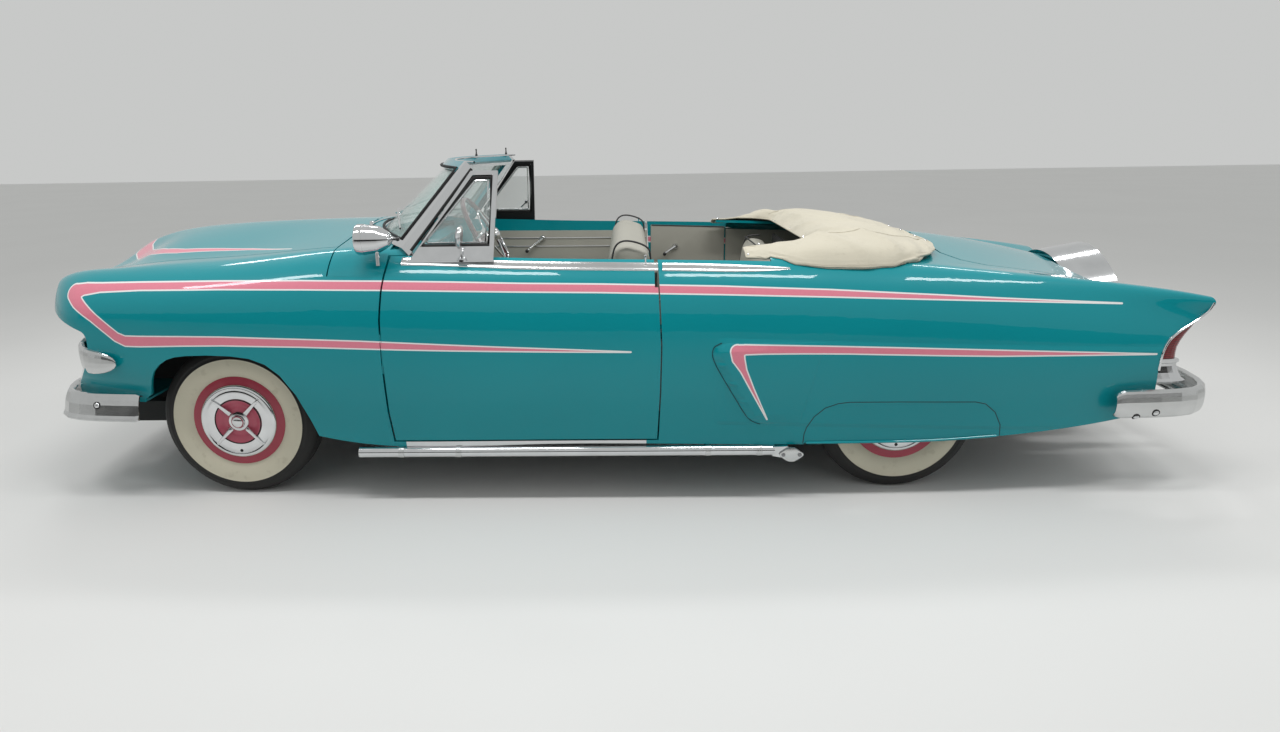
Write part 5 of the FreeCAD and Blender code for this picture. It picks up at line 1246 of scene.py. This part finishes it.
def screen_trim():
    """Seal of the glass, edge and pins of the header, pillar seals and wipers."""
    inner = [screen_point(0.10, step / 8 * 0.935, -0.001) for step in range(-8, 9)]
    inner += [screen_point(height, 0.935, -0.001) for height in (0.25, 0.45, 0.65, 0.82)]
    inner += [screen_point(0.92, step / 8 * 0.935, -0.001) for step in range(8, -9, -1)]
    inner += [screen_point(height, -0.935, -0.001) for height in (0.82, 0.65, 0.45, 0.25)]
    fitted(tube(inner, 0.0065, "POLY", closed=True), "screen_seal", "car", GASKET)
    header = [screen_point(1.0, step / 10 * 0.985, 0.012) for step in range(-10, 11)]
    fitted(tube([point + Vector((-0.030, 0, 0.004)) for point in header], 0.0045, "POLY"),
           "header_edge", "car", CHROME)
    pins = []
    for across in (-0.50, -0.93):
        base = screen_point(1.0, across, 0.02)
        pins.append(spun([
            (0, 0.040), (0.0030, 0.039), (0.0042, 0.034), (0.0030, 0.028), (0.0040, 0.014),
            (0.0062, 0.010), (0.0066, -0.004), (0, -0.004)],
            base + Vector((0, 0, 0.012)), (0, 0, 1), 16))
    fitted(joined(*pins), "header_pins", "car", BLACK)
    posts = [tube([screen_point(height, side * 1.012, 0.034)
                   for height in (0.06, 0.3, 0.6, 0.9, 0.985)], 0.0065) for side in (-1, 1)]
    fitted(joined(*posts), "pillar_seals", "car", GASKET)
    wipers = []
    for base, tip in (((1.188, 0.256), (0.16, 0.62)), ((1.188, -0.243), (0.16, -0.20))):
        foot = on_top("cowl", base[0], base[1], 0.006)
        height, across = tip
        end = screen_point(height + 0.10, across, -0.010)
        middle = (foot + end) / 2 + Vector((0.010, 0, 0.008))
        wipers.append(tube([foot, middle, end], 0.0036, taper=[1.5, 1.0, 0.8]))
        left = screen_point(height + 0.02, across + 0.22, -0.006)
        right = screen_point(height + 0.16, across - 0.24, -0.006)
        wipers.append(tube([left, (left + right) / 2 + Vector((0.004, 0, 0.004)), right], 0.0042))
        wipers.append(spun([(0, 0.018), (0.010, 0.016), (0.014, 0.006), (0.016, -0.004), (0, -0.004)],
                           foot, (0.1, 0, 1), 20))
    fitted(joined(*wipers), "wipers", "car", CHROME)


def vent_trim():
    """Rubber and bright inner frame of each vent window, with its latch."""
    tilt = Matrix.Translation((0, 0.812, 0)) @ Matrix.Translation((0, 0, 1.086)) @ Matrix.Rotation(
        math.radians(18), 4, "X") @ Matrix.Translation((0, 0, -1.086))
    gasket = [(0.800, 1.111), (0.541, 1.111), (0.537, 1.114), (0.525, 1.392), (0.529, 1.398),
              (0.592, 1.398), (0.604, 1.394), (0.614, 1.382), (0.816, 1.134), (0.818, 1.122), (0.812, 1.114)]
    bright = [(0.792, 1.124), (0.556, 1.124), (0.552, 1.127), (0.540, 1.380), (0.543, 1.385),
              (0.588, 1.385), (0.597, 1.381), (0.606, 1.370), (0.796, 1.138), (0.799, 1.130)]
    for points, radius, name, finish in ((gasket, 0.0082, "vent_rubber", GASKET),
                                         (bright, 0.0036, "vent_inner_frame", CHROME)):
        frame_bar = tube([(along, 0.0115, up) for along, up in points], radius, "POLY", closed=True)
        frame_bar.data.transform(tilt)
        fitted_pair(frame_bar, name, "door_SIDE", finish)
    latch = joined(
        spun([(0, 0.012), (0.009, 0.011), (0.011, 0.004), (0.011, 0.0), (0, 0)],
             (0.560, 0.004, 1.175), (0, -1, 0), 18),
        tube([(0.560, -0.007, 1.175), (0.575, -0.010, 1.160), (0.592, -0.010, 1.146)], 0.0040))
    latch.data.transform(tilt)
    fitted_pair(latch, "vent_latch", "door_SIDE", CHROME)


def door_mirror():
    """Round mirror on its curved stem at the left vent window."""
    stem = tube([(0.6484, 0.8470, 1.058), (0.6484, 0.8490, 1.080), (0.6500, 0.8440, 1.105),
                 (0.6540, 0.8420, 1.120)], 0.0055, taper=[1.6, 1.0, 1.0, 1.1])
    foot = spun([(0, 0.010), (0.012, 0.009), (0.020, 0.004), (0.022, -0.004), (0, -0.004)],
                (0.6484, 0.8470, 1.060), (0, 0.15, 1), 24)
    shell = spun([(0, 0.020), (0.020, 0.018), (0.038, 0.011), (0.047, 0.002), (0.049, -0.004),
                  (0.046, -0.007), (0, -0.006)], MIRROR_PLACE, (0.98, 0.05, 0.1), 40)
    fitted(joined(stem, foot, shell), "door_mirror", "door_left", CHROME)
    glass = spun([(0, 0.0085), (0.044, 0.0085), (0.044, 0.006), (0, 0.006)],
                 MIRROR_PLACE, (-0.98, -0.05, -0.1), 36)
    fitted(glass, "door_mirror_glass", "door_left", MIRROR_GLASS)


def grille_details():
    """Thin slats behind the floating bar."""
    bars = []
    for step in range(9):
        up = 0.540 + 0.026 * step
        bars.append(tube([(2.440, -0.49, up), (2.444, 0.0, up), (2.440, 0.49, up)], 0.0022, "POLY"))
    fitted(joined(*bars), "grille_slats", "car", BLACK)


road_wheels()
seats()
door_trim()
dash_and_controls()
boot()
belt_mouldings()
scoop()
skirt_lips()
pipe_fittings()
bumper_bolts()
lamp_rings()
screen_trim()
vent_trim()
door_mirror()
grille_details()


# Camera, floor and light

def set_camera():
    """Camera at the photograph's own place, turn and focal length."""
    bpy.ops.object.camera_add(
        location=(-0.0275, 4.2618, 1.5485),
        rotation=[math.radians(angle) for angle in (74.4077, 0.9382, -178.5315)])
    camera = bpy.context.object
    camera.data.sensor_width = SENSOR
    camera.data.lens = FOCAL_PIXELS / IMAGE_WIDTH * SENSOR
    camera.data.shift_x = (IMAGE_WIDTH / 2 - CENTRE_PIXEL) / IMAGE_WIDTH
    bpy.context.scene.camera = camera


def set_floor():
    """Pale floor, and a dark screen behind the camera that only reflections see."""
    bpy.ops.mesh.primitive_plane_add(size=60, location=(0, 0, 0))
    floor = bpy.context.object
    floor.name = "floor"
    finish = Finish("pale_floor")
    floor.data.materials.append(finish.done(
        finish.mix(finish.noise(0.6, 2.0), (0.70, 0.70, 0.69), (0.74, 0.74, 0.73)), Roughness=0.7))
    bpy.ops.mesh.primitive_plane_add(size=1, location=(0, 8.5, 1.1), rotation=(math.pi / 2, 0, 0))
    screen = bpy.context.object
    screen.name = "dark_screen"
    screen.scale = (26, 1.7, 1)
    screen.visible_camera = False
    dark = Finish("dark_cloth")
    screen.data.materials.append(dark.done((0.02, 0.02, 0.02), Roughness=0.9))


def set_light():
    """Pale room light, and two rows of ceiling lamps that draw bright lines on the shoulders."""
    scene = bpy.context.scene
    scene.view_settings.view_transform = "Standard"
    world = bpy.data.worlds.new("studio")
    scene.world = world
    world.use_nodes = True
    tree = world.node_tree
    backdrop = tree.nodes["Background"]
    backdrop.inputs["Color"].default_value = (0.80, 0.81, 0.80, 1)
    backdrop.inputs["Strength"].default_value = 0.72
    for x_place in (-3.0, -1.0, 1.0, 3.0):
        for y_place, power in ((1.6, 26), (-1.4, 18)):
            bpy.ops.object.light_add(type="AREA", location=(x_place, y_place, 3.6))
            lamp = bpy.context.object
            lamp.data.shape = "RECTANGLE"
            lamp.data.size = 1.2
            lamp.data.size_y = 0.35
            lamp.data.energy = power


set_camera()
set_floor()
set_light()
